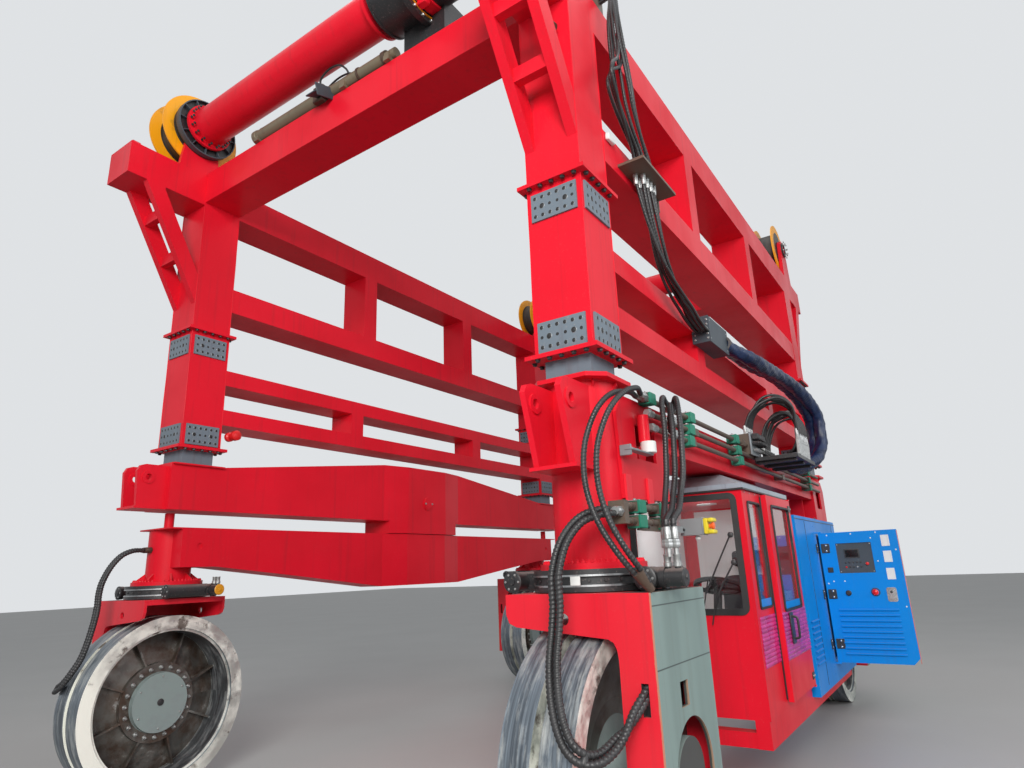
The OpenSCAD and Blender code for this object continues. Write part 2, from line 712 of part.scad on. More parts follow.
// hoist motors round the shaft on a bracket from the cross beam, and the brakes beside the stands
module hoist_drives() {
    low = cross_z + cross_h;
    brake_t = 44;
    brake_y = drum_y - stand_y - (stand_t + brake_t) / 2;
    color(black) for (sx = [-1, 1]) difference() {
        union() {
            translate([sx * hoist_x, 0, axis_z]) {
                cross_cylinder(250, 330, [0, drive_in + 165, 0]);
                cross_cylinder(330, 50, [0, drive_in + 355, 0]);
                cross_cylinder(230, drive_out - drive_in - 380, [0, (drive_in + 380 + drive_out) / 2, 0]);
                for (side = [-1, 1]) {
                    cross_cylinder(brake_r, brake_t, [0, side * brake_y, 0]);
                    cross_cylinder(110, cap_t, [0, side * (drum_y + stand_y + (stand_t + cap_t) / 2), 0]);
                }
            }
            translate([sx * (axis_x + 40), (drive_in + drive_out) / 2, low])
                box(leg_w - 120, 420, axis_z - low - 120);
        }
        cross_cylinder(shaft_r + seat_gap, 3 * track, [sx * hoist_x, 0, axis_z]);
    }
}

module traverse_cylinders() {
    z = cross_z + cross_h;
    rise = 72;
    color(olive) for (sx = [-1, 1]) translate([sx * (axis_x + leg_half - 20), 0, z]) {
        cross_cylinder(62, 1000, [0, -620, rise]);
        cross_cylinder(44, 1100, [0, 160, rise]);
        for (y = [-1060, -200, 120, 640]) box(110, 60, rise, [0, y, 0]);
    }
}

// red base frame under the cab and the power unit, hung from the left sill
module service_base() {
    low = service_z;
    hang_y = axis_y - 60;
    color(red) {
        for (y = [cab_in + 60, service_out - 60]) {
            translate([cab_rear, y - 50, low]) cube([cab_l, 100, cab_z - low]);
            translate([power_rear, y - 50, low]) cube([power_l + 50 + cut, 100, power_z - low]);
        }
        for (x = [cab_front - 60, cab_rear - 25, power_rear + 60])
            translate([x - 50, cab_in + 100, low]) cube([100, cab_w - 200, power_z - low]);
        // hangers up to the sill between the cab and the power unit, and behind the power unit
        for (row = [[cab_rear - 47, 24], [power_rear - 42, 40]])
            translate([row[0], hang_y - 120, low]) cube([row[1], 300, sill_left_z - low]);
        translate([power_rear - 42, hang_y - 120, low]) cube([102, 300, power_z - low]);
    }
}

// cab openings: length or width, and height, all measured from the cab's corner
cab_sill = 730;
cab_head = 1530;
cab_door_z = cab_z + 40;
cab_door_h = cab_h - 65;
module cab_shell() {
    w = cab_wall;
    color(red) door_pivots(cab_pivot, service_out, cab_door_z, cab_door_z + cab_door_h);
    color(red) difference() {
        translate([cab_rear, cab_in, cab_z]) cube([cab_l, cab_w, cab_h]);
        translate([cab_rear + w, cab_in + w, cab_z + w]) cube([cab_l - 2 * w, cab_w - 2 * w, cab_h - 2 * w]);
        // windscreen, rear window and inboard window
        translate([cab_front - w - cut, cab_in + 110, cab_z + cab_sill]) cube([w + 2 * cut, cab_w - 200, cab_head - cab_sill]);
        translate([cab_rear - cut, cab_in + 160, cab_z + cab_sill + 100]) cube([w + 2 * cut, cab_w - 320, cab_head - cab_sill - 100]);
        translate([cab_rear + 150, cab_in - cut, cab_z + cab_sill]) cube([cab_l - 300, w + 2 * cut, cab_head - cab_sill]);
        // fixed side window and the door opening
        translate([cab_door_x + cab_door_l + 60, service_out - w - cut, cab_z + cab_sill])
            cube([cab_front - cab_door_x - cab_door_l - 60 - 110, w + 2 * cut, cab_head - cab_sill - 30]);
        translate([cab_door_x + door_lap, service_out - w - cut, cab_door_z + door_lap])
            cube([cab_door_l - 2 * door_lap, w + 2 * cut, cab_door_h - 2 * door_lap]);
    }
}

// brackets above and below a door, each with its pin, reaching out from the wall behind
module door_pivots(pivot, wall_y, low, high) {
    for (end = [[low - seat_gap - bracket_t, 0], [high + seat_gap, 1]]) {
        translate([pivot[0] - 18, wall_y - cut, end[0]]) cube([36, pivot[1] + 18 - wall_y + cut, bracket_t]);
        translate([pivot[0], pivot[1], end[1] == 0 ? end[0] : end[0] - 30]) cylinder(r = pivot_r, h = 30 + bracket_t, $fn = 24);
    }
}

module door_bores(pivot, low, high) {
    for (z = [low - cut, high - 34]) translate([pivot[0], pivot[1], z]) cylinder(r = pivot_r + seat_gap, h = 34 + cut, $fn = 24);
}

module cab_door() {
    y0 = cab_pivot[1] + pivot_in - door_t;
    frame = 120;
    color(red) difference() {
        translate([cab_door_x, y0, cab_door_z]) cube([cab_door_l, door_t, cab_door_h]);
        translate([cab_door_x + frame, y0 - cut, cab_z + cab_sill - 45])
            cube([cab_door_l - 2 * frame, door_t + 2 * cut, cab_head - cab_sill + 5]);
        door_bores(cab_pivot, cab_door_z, cab_door_z + cab_door_h);
    }
}

// roof: an overhanging rim and a hipped cover that clears the sill
module cab_roof_unit() {
    rim_h = 36;
    lip = 20;
    cover_h = sill_left_z - cab_top - rim_h - 20;
    mid = [cab_rear + cab_l / 2, cab_in + cab_w / 2, cab_top];
    color(silver) {
        box(cab_l + 2 * lip, cab_w + 2 * lip - 8, rim_h, mid);
        translate(mid) hull() {
            box(cab_l - 60, cab_w - 60, cut, [0, 0, rim_h - cut]);
            box(cab_l - 420, cab_w - 420, cut, [0, 0, rim_h + cover_h - cut]);
        }
    }
}

driver_y = service_out - 360;
module cab_seat() {
    x = cab_rear + 430; z = cab_z + cab_wall;
    base_h = 300; cushion = 490;
    color("#33343a") {
        box(cushion - 130, cushion - 130, base_h, [x, driver_y, z]);
        box(cushion, cushion, 120, [x + 20, driver_y, z + base_h - cut]);
        translate([x - 170, driver_y, z + base_h + 100]) rotate([0, -8, 0]) {
            box(110, cushion - 30, 560);
            box(90, 280, 180, [0, 0, 559]);
        }
    }
}

// dashboard under the windscreen, with the steering column and its wheel
module cab_console() {
    x = cab_front - cab_wall; z = cab_z + cab_wall;
    desk_h = 640;
    wheel_z = 860;
    color("#33343a") {
        box(160, cab_w - 260, desk_h, [x - 80, driver_y - 60, z]);
        translate([x - 150, driver_y + 10, z + desk_h - 60]) rotate([0, -20, 0]) {
            cylinder(r = 32, h = wheel_z - desk_h + 60, $fn = 24);
            translate([0, 0, wheel_z - desk_h + 50]) {
                difference() {
                    cylinder(r = hand_wheel_r, h = 28, $fn = 48);
                    translate([0, 0, -cut]) cylinder(r = hand_wheel_r - 26, h = 30, $fn = 48);
                }
                for (turn = [0, 120, 240]) rotate(turn) translate([0, -20, 4]) cube([hand_wheel_r - 13, 40, 14]);
                cylinder(r = 60, h = 30, $fn = 32);
            }
        }
    }
}

// power unit: sheet cabinet, open at the control door
power_door_z = power_z + 170;
power_door_h = power_h - 320;
module power_cabinet() {
    y0 = power_out - power_w;
    w = power_wall;
    color(blue) door_pivots(power_pivot, power_out, power_door_z, power_door_z + power_door_h);
    color(blue) difference() {
        translate([power_rear, y0, power_z]) cube([power_l, power_w, power_h]);
        translate([power_rear + w, y0 + w, power_z + w]) cube([power_l - 2 * w, power_w - 2 * w, power_h - 2 * w]);
        translate([control_x - door_w + door_lap, power_out - w - cut, power_door_z + door_lap])
            cube([door_w - 2 * door_lap, w + 2 * cut, power_door_h - 2 * door_lap]);
    }
}

module engine_block() {
    mid = [power_rear + 600 + engine_l / 2, power_out - power_w / 2 - 40, power_z + power_wall];
    block_w = power_w - 480;
    color("#3c4046") {
        box(engine_l, block_w, 620, [mid[0], mid[1], mid[2] + 120]);
        for (x = [-0.3, 0.3]) box(120, block_w - 60, 120 + cut, [mid[0] + x * engine_l, mid[1], mid[2]]);
    }
}

// control door, hinged at its front edge and standing open square to the cabinet
louvre_pitch = 50;
louvre_h = 16;
module power_door() {
    face_x = power_pivot[0] + pivot_in;
    y0 = power_pivot[1] - pivot_in;
    color(blue) difference() {
        translate([face_x - door_t, y0, power_door_z]) cube([door_t, door_w, power_door_h]);
        // recess of the controller, and the slots under the louvres
        translate([face_x - 16, y0 + 146, power_door_z + 825]) cube([17, 318, 287]);
        for (i = [0 : louvre_count - 1])
            translate([face_x - 12, y0 + 90, power_door_z + 70 + i * louvre_pitch]) cube([13, 508, louvre_h]);
        door_bores(power_pivot, power_door_z, power_door_z + power_door_h);
        // lower free corner is cut away
        translate([face_x - door_t - cut, y0 + door_w, power_door_z]) rotate([45, 0, 0]) translate([0, -40, -40]) cube([door_t + 2 * cut, 80, 80]);
    }
}

// pipes and clamps along the outside of the left sill, the hose plates and the stop button's arm
pipe_rows = [
    // front end, rear end, height, first and second clamp
    [axis_x - 250, -axis_x + 500, base_z - 72, 2720, 733],
    [axis_x - 290, -axis_x + 500, base_z - 160, 1934, 890],
    [axis_x - 330, -axis_x + 500, base_z - 242, 2011, -600],
];
short_rows = [base_z - 732, base_z - 810];
slim_half = axis_x - sill_box_l - seat_gap - 30;
module pipe_clamp(x, z) {
    // reaches in to the box plate, or past it to the slim beam
    base = abs(x) < slim_half ? sill_box_t : 0;
    color(green) box(clamp_l, pipe_out + 22 + base, 50, [x, pipe_y - (pipe_out - 22 + base) / 2, z - 25]);
}

module pipe_run() {
    out_y = axis_y + sill_out;
    for (row = pipe_rows) {
        color(red) long_cylinder(pipe_r, row[0] - row[1], [(row[0] + row[1]) / 2, pipe_y, row[2]]);
        for (x = [row[3], row[4], -1900]) pipe_clamp(x, row[2]);
    }
    // two short pipes below the front box, on their hanger plates
    for (z = short_rows) {
        color(grey) long_cylinder(pipe_r, 640, [axis_x - 130, pipe_y, z]);
        for (x = [axis_x - 30, axis_x - 330]) pipe_clamp(x, z);
    }
    color(grey) for (x = [axis_x - 30, axis_x - 330]) box(70, 12, 300, [x, out_y + 6, short_rows[1] - 40]);
    // union block on the ends of the short pipes, where the front wheel's hoses start
    color(grey) translate([axis_x + 180, pipe_y - 45, short_rows[1] - 20]) cube([50, 90, 118]);
    // bridge on the top chord that the hoses from the hoists come over
    color(grey) translate([2560, axis_y + 60, top_z]) cube([80, 90, 300]);
    // arm with the stop button's box
    color(grey) {
        translate([axis_x - 710, pipe_y - 6, short_rows[1] - 46]) cube([690, 12, 40]);
        translate([axis_x - 790, pipe_y - 20, short_rows[1] - 60]) cube([82, 140, 100]);
    }
    // valve block, the plate that holds the hose unions and the junction box under it
    color(grey) {
        translate([330, out_y - sill_box_t, base_z - 150]) cube([260, 100, 180]);
        translate([2050, axis_y + leg_half, bottom_chord_z + 60]) cube([600, 190, 20]);
        translate([2060, axis_y + leg_half, bottom_chord_z - 40]) cube([20, 60, 110]);
        translate([800, axis_y + leg_half - (leg_w - ladder_w), ladder_high_z - 100]) cube([500, 130, 210]);
    }
}

// hoses as tubes along their route, with the section square to the line
function unit(v) = v / norm(v);
function along(route, i) = unit(route[min(i + 1, len(route) - 1)] - route[max(i - 1, 0)]);
module hose(route, half_w, half_h, toward) {
    sides = 8;
    rings = [for (i = [0 : len(route) - 1]) let (a = unit(cross(along(route, i), toward)), b = cross(a, along(route, i)))
        [for (k = [0 : sides - 1]) route[i] + half_w * cos(k * 360 / sides) * a + half_h * sin(k * 360 / sides) * b]];
    points = [for (ring = rings) for (p = ring) p];
    faces = concat(
        [[for (k = [sides - 1 : -1 : 0]) k]],
        [for (i = [0 : len(rings) - 2], k = [0 : sides - 1], half = [0, 1])
            let (a = i * sides + k, b = i * sides + (k + 1) % sides, c = b + sides, d = a + sides)
            half == 0 ? [a, b, c] : [a, c, d]],
        [[for (k = [0 : sides - 1]) (len(rings) - 1) * sides + k]]
    );
    color(black) polyhedron(points, faces);
}

loop_half_w = 38;
loop_half_h = 19;
loop_toward = [1, 0, 0.5];
split_z = slew_z + 6;
upper_fl = [
    [3280.3, 2350, 1931], [3325, 2350, 1931], [3395, 2314, 1928], [3470, 2240, 1890], [3540, 2182, 1790],
    [3606, 2165, 1650], [3612, 2164, 1600], [3612, 2164, split_z + 0.3],
];
lower_fl = [
    [3612, 2164, split_z], [3612, 2164, 1490], [3632, 2164, 1390], [3680, 2172, 1260],
    [3728, 2200, 1130], [3752, 2232, 1030], [3760, 2275, 950], [3735, 2325, 905], [3685, 2368, 898],
    [3620, 2396, 920], [3540, 2424, 972], [3470, 2455, 1040], [3430, 2474, 1080],
];
upper_fr = [
    [3235.3, -2230, 1960], [3310, -2230, 1960], [3390, -2236, 1952], [3470, -2245, 1910],
    [3540, -2253, 1820], [3590, -2257, 1700], [3604, -2258, 1610], [3604, -2258, split_z + 0.3],
];
lower_fr = [
    [3604, -2258, split_z], [3604, -2258, 1490], [3618, -2250, 1390], [3645, -2252, 1240],
    [3675, -2270, 1110], [3720, -2300, 1005], [3752, -2345, 930], [3764, -2400, 895],
    [3735, -2455, 888], [3675, -2500, 902], [3600, -2535, 935], [3520, -2570, 985],
    [3455, -2602, 1050], [3430, -2618, 1072],
];
pair_fl = [
    [2800.3, 2350, 2630], [2860, 2350, 2630], [2960, 2380, 2624], [3080, 2415, 2604], [3200, 2436, 2576],
    [3320, 2440, 2540], [3415, 2424, 2480], [3480, 2394, 2390], [3528, 2362, 2250], [3540, 2352, 2110],
    [3544, 2370, 1980], [3540, 2410, 1860], [3518, 2462, 1750], [3480, 2502, 1670], [3440, 2522, 1620],
    [3412, 2534, 1582],
];
bundle_top = [
    [2600, 2230.3, 5840], [2600, 2285, 5840], [2630, 2335, 5815], [2670, 2362, 5735], [2712, 2375, 5600],
    [2738, 2380, 5440], [2736, 2380, 5270], [2718, 2380, 5100], [2685, 2376, 4940], [2640, 2366, 4780],
    [2550, 2358, 4620], [2420, 2352, 4490], [2380, 2350, 4400], [2380, 2350, 4338.3],
];
bundle_low = [
    [2380, 2350, 4317.7], [2380, 2350, 4250], [2350, 2354, 4090], [2290, 2354, 3930], [2200, 2352, 3790],
    [2060, 2346, 3690], [1890, 2338, 3620], [1720, 2330, 3570], [1550, 2316, 3525], [1400, 2310, 3495],
    [1300.3, 2310, 3495],
];

centred() { truss(1); truss(-1); }  // side_trusses
centred() { cross_beam(1); cross_beam(-1); }  // cross_beams
centred() legs();
centred() leg_inserts();
centred() splice_plates();
centred() leg_pads();
centred() { ladder(1); ladder(-1); }  // ladders
centred() sill_right();
centred() rocker_beam();
centred() rocker_pin();
centred() sill_left();
centred() turrets_left();
centred() turrets_right();
centred() for (sx = [-1, 1], sy = [-1, 1]) slew_ring(sx, sy);  // slew_rings
centred() hoist_stands();
centred() hoist_drives();
centred() traverse_cylinders();
centred() hoist(1);  // hoist_front
centred() drums(1);  // drums_front
centred() hoist(-1);  // hoist_rear
centred() drums(-1);  // drums_rear
centred() service_base();
centred() cab_shell();
centred() cab_roof_unit();
centred() cab_seat();
centred() cab_console();
centred() cab_door();
centred() power_cabinet();
centred() engine_block();
centred() power_door();
centred() pipe_run();
centred() fork(1, 1);  // fork_fl
centred() fork(1, -1);  // fork_fr
centred() fork(-1, 1);  // fork_rl
centred() fork(-1, -1);  // fork_rr
centred() wheel(1, 1);  // wheel_fl
centred() wheel(1, -1);  // wheel_fr
centred() wheel(-1, 1);  // wheel_rl
centred() wheel(-1, -1);  // wheel_rr
centred() hose(upper_fl, loop_half_w, loop_half_h, loop_toward);  // hose_upper_fl
centred() hose(lower_fl, loop_half_w, loop_half_h, loop_toward);  // hose_lower_fl
centred() hose(pair_fl, 34, 13, loop_toward);  // hose_pair_fl
centred() hose(upper_fr, loop_half_w, loop_half_h, loop_toward);  // hose_upper_fr
centred() hose(lower_fr, loop_half_w, loop_half_h, loop_toward);  // hose_lower_fr
centred() {  // hose_bundle_top
    hose(bundle_top, 60, 20, [1, 0, 0.01]);
    hose(bundle_low, 60, 20, [1, 0, 0.01]);
}
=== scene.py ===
import bpy
import bmesh
import math
from mathutils import Matrix, Vector


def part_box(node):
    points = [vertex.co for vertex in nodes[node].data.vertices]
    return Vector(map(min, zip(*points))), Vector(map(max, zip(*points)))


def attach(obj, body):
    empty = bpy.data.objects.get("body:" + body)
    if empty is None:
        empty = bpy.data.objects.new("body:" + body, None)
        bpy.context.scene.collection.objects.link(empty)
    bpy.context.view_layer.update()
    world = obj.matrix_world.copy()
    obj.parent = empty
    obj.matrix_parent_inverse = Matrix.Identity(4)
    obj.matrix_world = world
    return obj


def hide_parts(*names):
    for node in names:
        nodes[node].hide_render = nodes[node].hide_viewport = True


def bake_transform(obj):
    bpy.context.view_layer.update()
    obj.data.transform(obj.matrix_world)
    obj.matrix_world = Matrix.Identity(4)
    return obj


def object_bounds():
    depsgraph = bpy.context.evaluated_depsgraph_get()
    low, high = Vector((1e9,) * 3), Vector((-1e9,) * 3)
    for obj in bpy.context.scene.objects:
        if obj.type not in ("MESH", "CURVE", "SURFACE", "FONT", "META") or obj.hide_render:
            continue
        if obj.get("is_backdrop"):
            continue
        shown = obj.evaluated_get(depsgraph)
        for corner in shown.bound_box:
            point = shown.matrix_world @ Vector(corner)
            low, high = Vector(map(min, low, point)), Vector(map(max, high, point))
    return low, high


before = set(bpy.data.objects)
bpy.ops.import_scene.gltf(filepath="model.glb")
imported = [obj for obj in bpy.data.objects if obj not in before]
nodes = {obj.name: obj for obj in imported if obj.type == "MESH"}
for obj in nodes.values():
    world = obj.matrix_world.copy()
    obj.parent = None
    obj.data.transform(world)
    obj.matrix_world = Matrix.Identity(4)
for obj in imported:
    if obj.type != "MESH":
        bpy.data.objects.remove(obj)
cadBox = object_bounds()
scene = bpy.context.scene

midTrack = -0.2605    # sizes here are counted from the middle of the track, and the part is centred on its box
axleX, trackLeft, trackRight, legY = 3.05, 2.08, -2.23, 2.08
ahead, left, up = Vector((1, 0, 0)), Vector((0, 1, 0)), Vector((0, 0, 1))


def at(x, y, z):
    return Vector((x, y + midTrack, z))


# camera, fitted to the photograph's straight edges
shot = {"turn": 33.834, "tilt": 15.861, "roll": -2.254, "lens": 23.075, "place": (6.382, 3.821, 1.664)}


def placeCamera(s):
    turn, tilt, roll = (math.radians(s[k]) for k in ("turn", "tilt", "roll"))
    aim = Vector((-math.cos(turn) * math.cos(tilt), -math.sin(turn) * math.cos(tilt), math.sin(tilt)))
    right = aim.cross(up).normalized()
    above = right.cross(aim)
    rightRolled = right * math.cos(roll) + above * math.sin(roll)
    aboveRolled = above * math.cos(roll) - right * math.sin(roll)
    lens = bpy.data.cameras.new("camera")
    lens.sensor_width, lens.lens, lens.clip_end = 36, s["lens"], 200
    camera = bpy.data.objects.new("camera", lens)
    scene.collection.objects.link(camera)
    place = Matrix((rightRolled, aboveRolled, -aim)).transposed().to_4x4()
    place.translation = at(*s["place"])
    camera.matrix_world = place
    scene.camera = camera


placeCamera(shot)
scene.view_settings.view_transform = "Standard"
print("stage: camera")


# mesh making
def axes(direction):
    w = Vector(direction).normalized()
    u = w.cross(up if abs(w.z) < 0.9 else ahead).normalized()
    return u, w.cross(u), w


# points round a centre, in the plane of two axes, with shift in parts of a step
def circle(count, radius, plane="xy", shift=0.0):
    u, v = ("xyz".index(letter) for letter in plane)
    points = []
    for k in range(count):
        a = 2 * math.pi * (k + shift) / count
        p = [0, 0, 0]
        p[u], p[v] = radius * math.cos(a), radius * math.sin(a)
        points.append(Vector(p))
    return points


class Piece:
    # gathers the faces of one piece, then makes the object that rides on a body; looks names its finishes
    def __init__(self, name, body, slotName, looks):
        self.name, self.body, self.slotName = name, body, slotName
        self.finishes = [finishes[key] for key in looks.split()]
        self.points, self.faces, self.marks = [], [], []

    def face(self, ids, mark):
        self.faces.append(ids)
        self.marks.append(mark)

    def rings(self, rings, mark=0, capStart=True, capEnd=True, closed=False):
        base, count = len(self.points), len(rings[0])
        for ring in rings:
            self.points.extend(ring)
        for i in range(len(rings) - (not closed)):
            a, b = base + i * count, base + (i + 1) % len(rings) * count
            for k in range(count):
                n = (k + 1) % count
                self.face((a + k, a + n, b + n, b + k), mark)
        if not closed and capStart:
            self.face(tuple(base + k for k in reversed(range(count))), mark)
        if not closed and capEnd:
            self.face(tuple(base + (len(rings) - 1) * count + k for k in range(count)), mark)

    # turned shape: profile of (radius, distance along the axis)
    def lathe(self, profile, centre, axis, sides=24, mark=0, turn=0.0, capStart=True, capEnd=True):
        u, v, w = axes(axis)
        rings = []
        for r, h in profile:
            rings.append([centre + w * h + (u * math.cos(a) + v * math.sin(a)) * max(r, 0.0004)
                          for a in (turn + 2 * math.pi * k / sides for k in range(sides))])
        self.rings(rings, mark, capStart, capEnd)

    # closed ring with its own section, such as a rim or a bead
    def hoop(self, section, centre, axis, sides=48, mark=0):
        u, v, w = axes(axis)
        rings = []
        for k in range(sides):
            a = 2 * math.pi * k / sides
            out = u * math.cos(a) + v * math.sin(a)
            rings.append([centre + out * r + w * h for r, h in section])
        self.rings(rings, mark, closed=True)

    def tube(self, line, radius, sides=10, mark=0, wave=None):
        rings, side = [], None
        run = 0.0
        for i, p in enumerate(line):
            along = (line[min(i + 1, len(line) - 1)] - line[max(i - 1, 0)]).normalized()
            if side is None:
                side = axes(along)[0]
            side = (side - along * side.dot(along)).normalized()
            other = along.cross(side)
            if i:
                run += (p - line[i - 1]).length
            ring = []
            for k in range(sides):
                a = 2 * math.pi * k / sides
                r = radius if wave is None else radius + wave(run, a)
                ring.append(p + (side * math.cos(a) + other * math.sin(a)) * r)
            rings.append(ring)
        self.rings(rings, mark)

    # box with broken edges
    def block(self, size, centre, edge=0.003, mark=0, turn=None):
        half = Vector(size) / 2
        edge = min(edge, min(half) * 0.6)
        base = len(self.points)
        corners = [(x, y, z) for x in (-1, 1) for y in (-1, 1) for z in (-1, 1)]
        order = [(-1, -1), (1, -1), (1, 1), (-1, 1)]
        spin = turn or Matrix.Identity(3)
        for c in corners:
            for axis in range(3):
                p = Vector([c[k] * (half[k] - (0 if k == axis else edge)) for k in range(3)])
                self.points.append(Vector(centre) + spin @ p)
        index = {(c, axis): base + i * 3 + axis for i, c in enumerate(corners) for axis in range(3)}

        def corner(axisSigns):
            return tuple(axisSigns[k] for k in range(3))
        for axis in range(3):
            b, c = (axis + 1) % 3, (axis + 2) % 3
            for s in (-1, 1):
                self.face(tuple(index[(corner({axis: s, b: p, c: q}), axis)] for p, q in order[::s]), mark)
                for t in (-1, 1):
                    quad = [index[(corner({axis: s, b: t, c: e}), k)] for e,
                            k in ((-1, axis), (1, axis), (1, b), (-1, b))]
                    self.face(tuple(quad[::-s * t]), mark)
        for c in corners:
            self.face(tuple([index[(c, axis)] for axis in range(3)][::c[0] * c[1] * c[2]]), mark)

    # several blocks, each (size, place, edge, mark)
    def blocks(self, *rows):
        for size, place, edge, mark in rows:
            self.block(size, at(*place), edge, mark)

    # outline in the upright plane across an axis, drawn out along it
    def slab(self, outline, centre, axis, depth, mark=0):
        w, v = Vector(axis), up
        u = v.cross(w)
        self.rings([[Vector(centre) + u * p[0] + v * p[1] + w * h for p in outline] for h in (0, depth)], mark)

    def bolt(self, centre, axis, flats=0.03, head=0.018, mark=0, washer=True, shank=0.0):
        if washer:
            rim = [(flats * 0.66, 0), (flats * 0.66, 0.003), (flats * 0.5, 0.0035)]
            self.lathe(rim, centre, axis, 16, mark, capEnd=False)
        self.lathe([(flats * 0.56, 0.002), (flats * 0.58, head * 0.8), (flats * 0.47, head)], centre, axis, 6, mark)
        if shank:
            end = [(flats * 0.3, head), (flats * 0.3, head + shank), (flats * 0.22, head + shank * 1.2)]
            self.lathe(end, centre, axis, 10, mark)

    def make(self, smooth=38):
        mesh = bpy.data.meshes.new(self.name)
        mesh.from_pydata([tuple(p) for p in self.points], [], self.faces)
        mesh.polygons.foreach_set("material_index", self.marks)
        tidy = bmesh.new()
        tidy.from_mesh(mesh)
        bmesh.ops.recalc_face_normals(tidy, faces=tidy.faces)
        tidy.to_mesh(mesh)
        tidy.free()
        for f in self.finishes:
            mesh.materials.append(f)
        mesh.shade_smooth()
        mesh.set_sharp_from_angle(angle=math.radians(smooth))
        piece = bpy.data.objects.new(self.name, mesh)
        scene.collection.objects.link(piece)
        if self.body:
            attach(piece, self.body)
        return piece


def roundedOutline(w, h, r, steps=4):
    out = []
    for quarter, (sx, sy) in enumerate(((1, 1), (-1, 1), (-1, -1), (1, -1))):
        for k in range(steps + 1):
            a = math.radians(90 * (quarter + k / steps))
            out.append((sx * (w / 2 - r) + r * math.cos(a), sy * (h / 2 - r) + r * math.sin(a)))
    return out


# smooth line through points, with equal steps along it
def smoothLine(points, step):
    pts = [Vector(p) for p in points]
    pts = [pts[0] * 2 - pts[1]] + pts + [pts[-1] * 2 - pts[-2]]
    fine = []
    for i in range(1, len(pts) - 2):
        a, b, c, d = pts[i - 1:i + 3]
        for k in range(24):
            t = k / 24
            cubic = (2 * a - 5 * b + 4 * c - d) * t ** 2 + (3 * b - a - 3 * c + d) * t ** 3
            fine.append(0.5 * ((2 * b) + (c - a) * t + cubic))
    fine.append(pts[-2])
    runs = [0.0]
    for p, q in zip(fine, fine[1:]):
        runs.append(runs[-1] + (q - p).length)
    count = max(8, round(runs[-1] / step))
    line, j = [], 0
    for i in range(count + 1):
        s = runs[-1] * i / count
        while j < len(runs) - 2 and runs[j + 1] < s:
            j += 1
        f = (s - runs[j]) / max(runs[j + 1] - runs[j], 1e-9)
        line.append(fine[j].lerp(fine[j + 1], f))
    return line


def easeIn(t, low, high):
    t = min(1.0, max(0.0, (t - low) / (high - low)))
    return t * t * (3 - 2 * t)


# shader groups that several finishes share
def newGroup(name, inputs, outputs):
    group = bpy.data.node_groups.new(name, "ShaderNodeTree")
    for socket, value in inputs.items():
        kind = "NodeSocketFloat" if isinstance(value, float) else "NodeSocketVector"
        group.interface.new_socket(name=socket, in_out="INPUT", socket_type=kind).default_value = value
    for socket in outputs.split():
        group.interface.new_socket(name=socket, in_out="OUTPUT", socket_type="NodeSocketFloat")
    return group, Tree(group, group.nodes.new("NodeGroupInput")), group.nodes.new("NodeGroupOutput")


class Tree:
    # short ways to add and join shader nodes
    def __init__(self, tree, source=None):
        self.tree, self.source = tree, source

    def add(self, kind, **settings):
        node = self.tree.nodes.new("ShaderNode" + kind)
        for key, value in settings.items():
            if key[0] == "_":
                node.inputs[int(key[1:])].default_value = value
            else:
                setattr(node, key, value)
        return node

    def join(self, start, end):
        self.tree.links.new(start, end)

    # a socket takes a number, a colour or what another node gives
    def feed(self, socket, value):
        if isinstance(value, (int, float)):
            socket.default_value = value
        elif isinstance(value, tuple):
            socket.default_value = (*value, 1.0)
        else:
            self.join(value, socket)

    def maths(self, operation, *values, clamp=False):
        node = self.add("Math", operation=operation, use_clamp=clamp)
        for socket, value in zip(node.inputs, values):
            self.feed(socket, value)
        return node.outputs[0]

    def times(self, a, b):
        return self.maths("MULTIPLY", a, b)

    # how far a value is from a level
    def awayFrom(self, value, level):
        return self.maths("ABSOLUTE", self.maths("SUBTRACT", value, level))

    def parts(self, vector):
        node = self.add("SeparateXYZ")
        self.join(vector, node.inputs[0])
        return node.outputs

    def ranged(self, value, low, high, toLow=0.0, toHigh=1.0):
        node = self.add("MapRange", _1=low, _2=high, _3=toLow, _4=toHigh)
        node.clamp = True
        self.join(value, node.inputs[0])
        return node.outputs[0]

    def noise(self, vector, scale, detail=3.0, rough=0.55):
        node = self.add("TexNoise")
        node.inputs["Detail"].default_value = detail
        node.inputs["Roughness"].default_value = rough
        self.feed(node.inputs["Scale"], scale)
        self.join(vector, node.inputs["Vector"])
        return node.outputs[0]

    def stretched(self, vector, scale):
        node = self.add("Mapping")
        node.inputs["Scale"].default_value = scale
        self.join(vector, node.inputs["Vector"])
        return node.outputs[0]

    def mix(self, factor, a, b):
        node = self.add("Mix", data_type="RGBA")
        for slot, value in ((0, factor), (6, a), (7, b)):
            self.feed(node.inputs[slot], value)
        return node.outputs[2]

    def place(self, group, **values):
        node = self.add("Group")
        node.node_tree = group
        for key, value in values.items():
            node.inputs[key].default_value = value
        return node.outputs


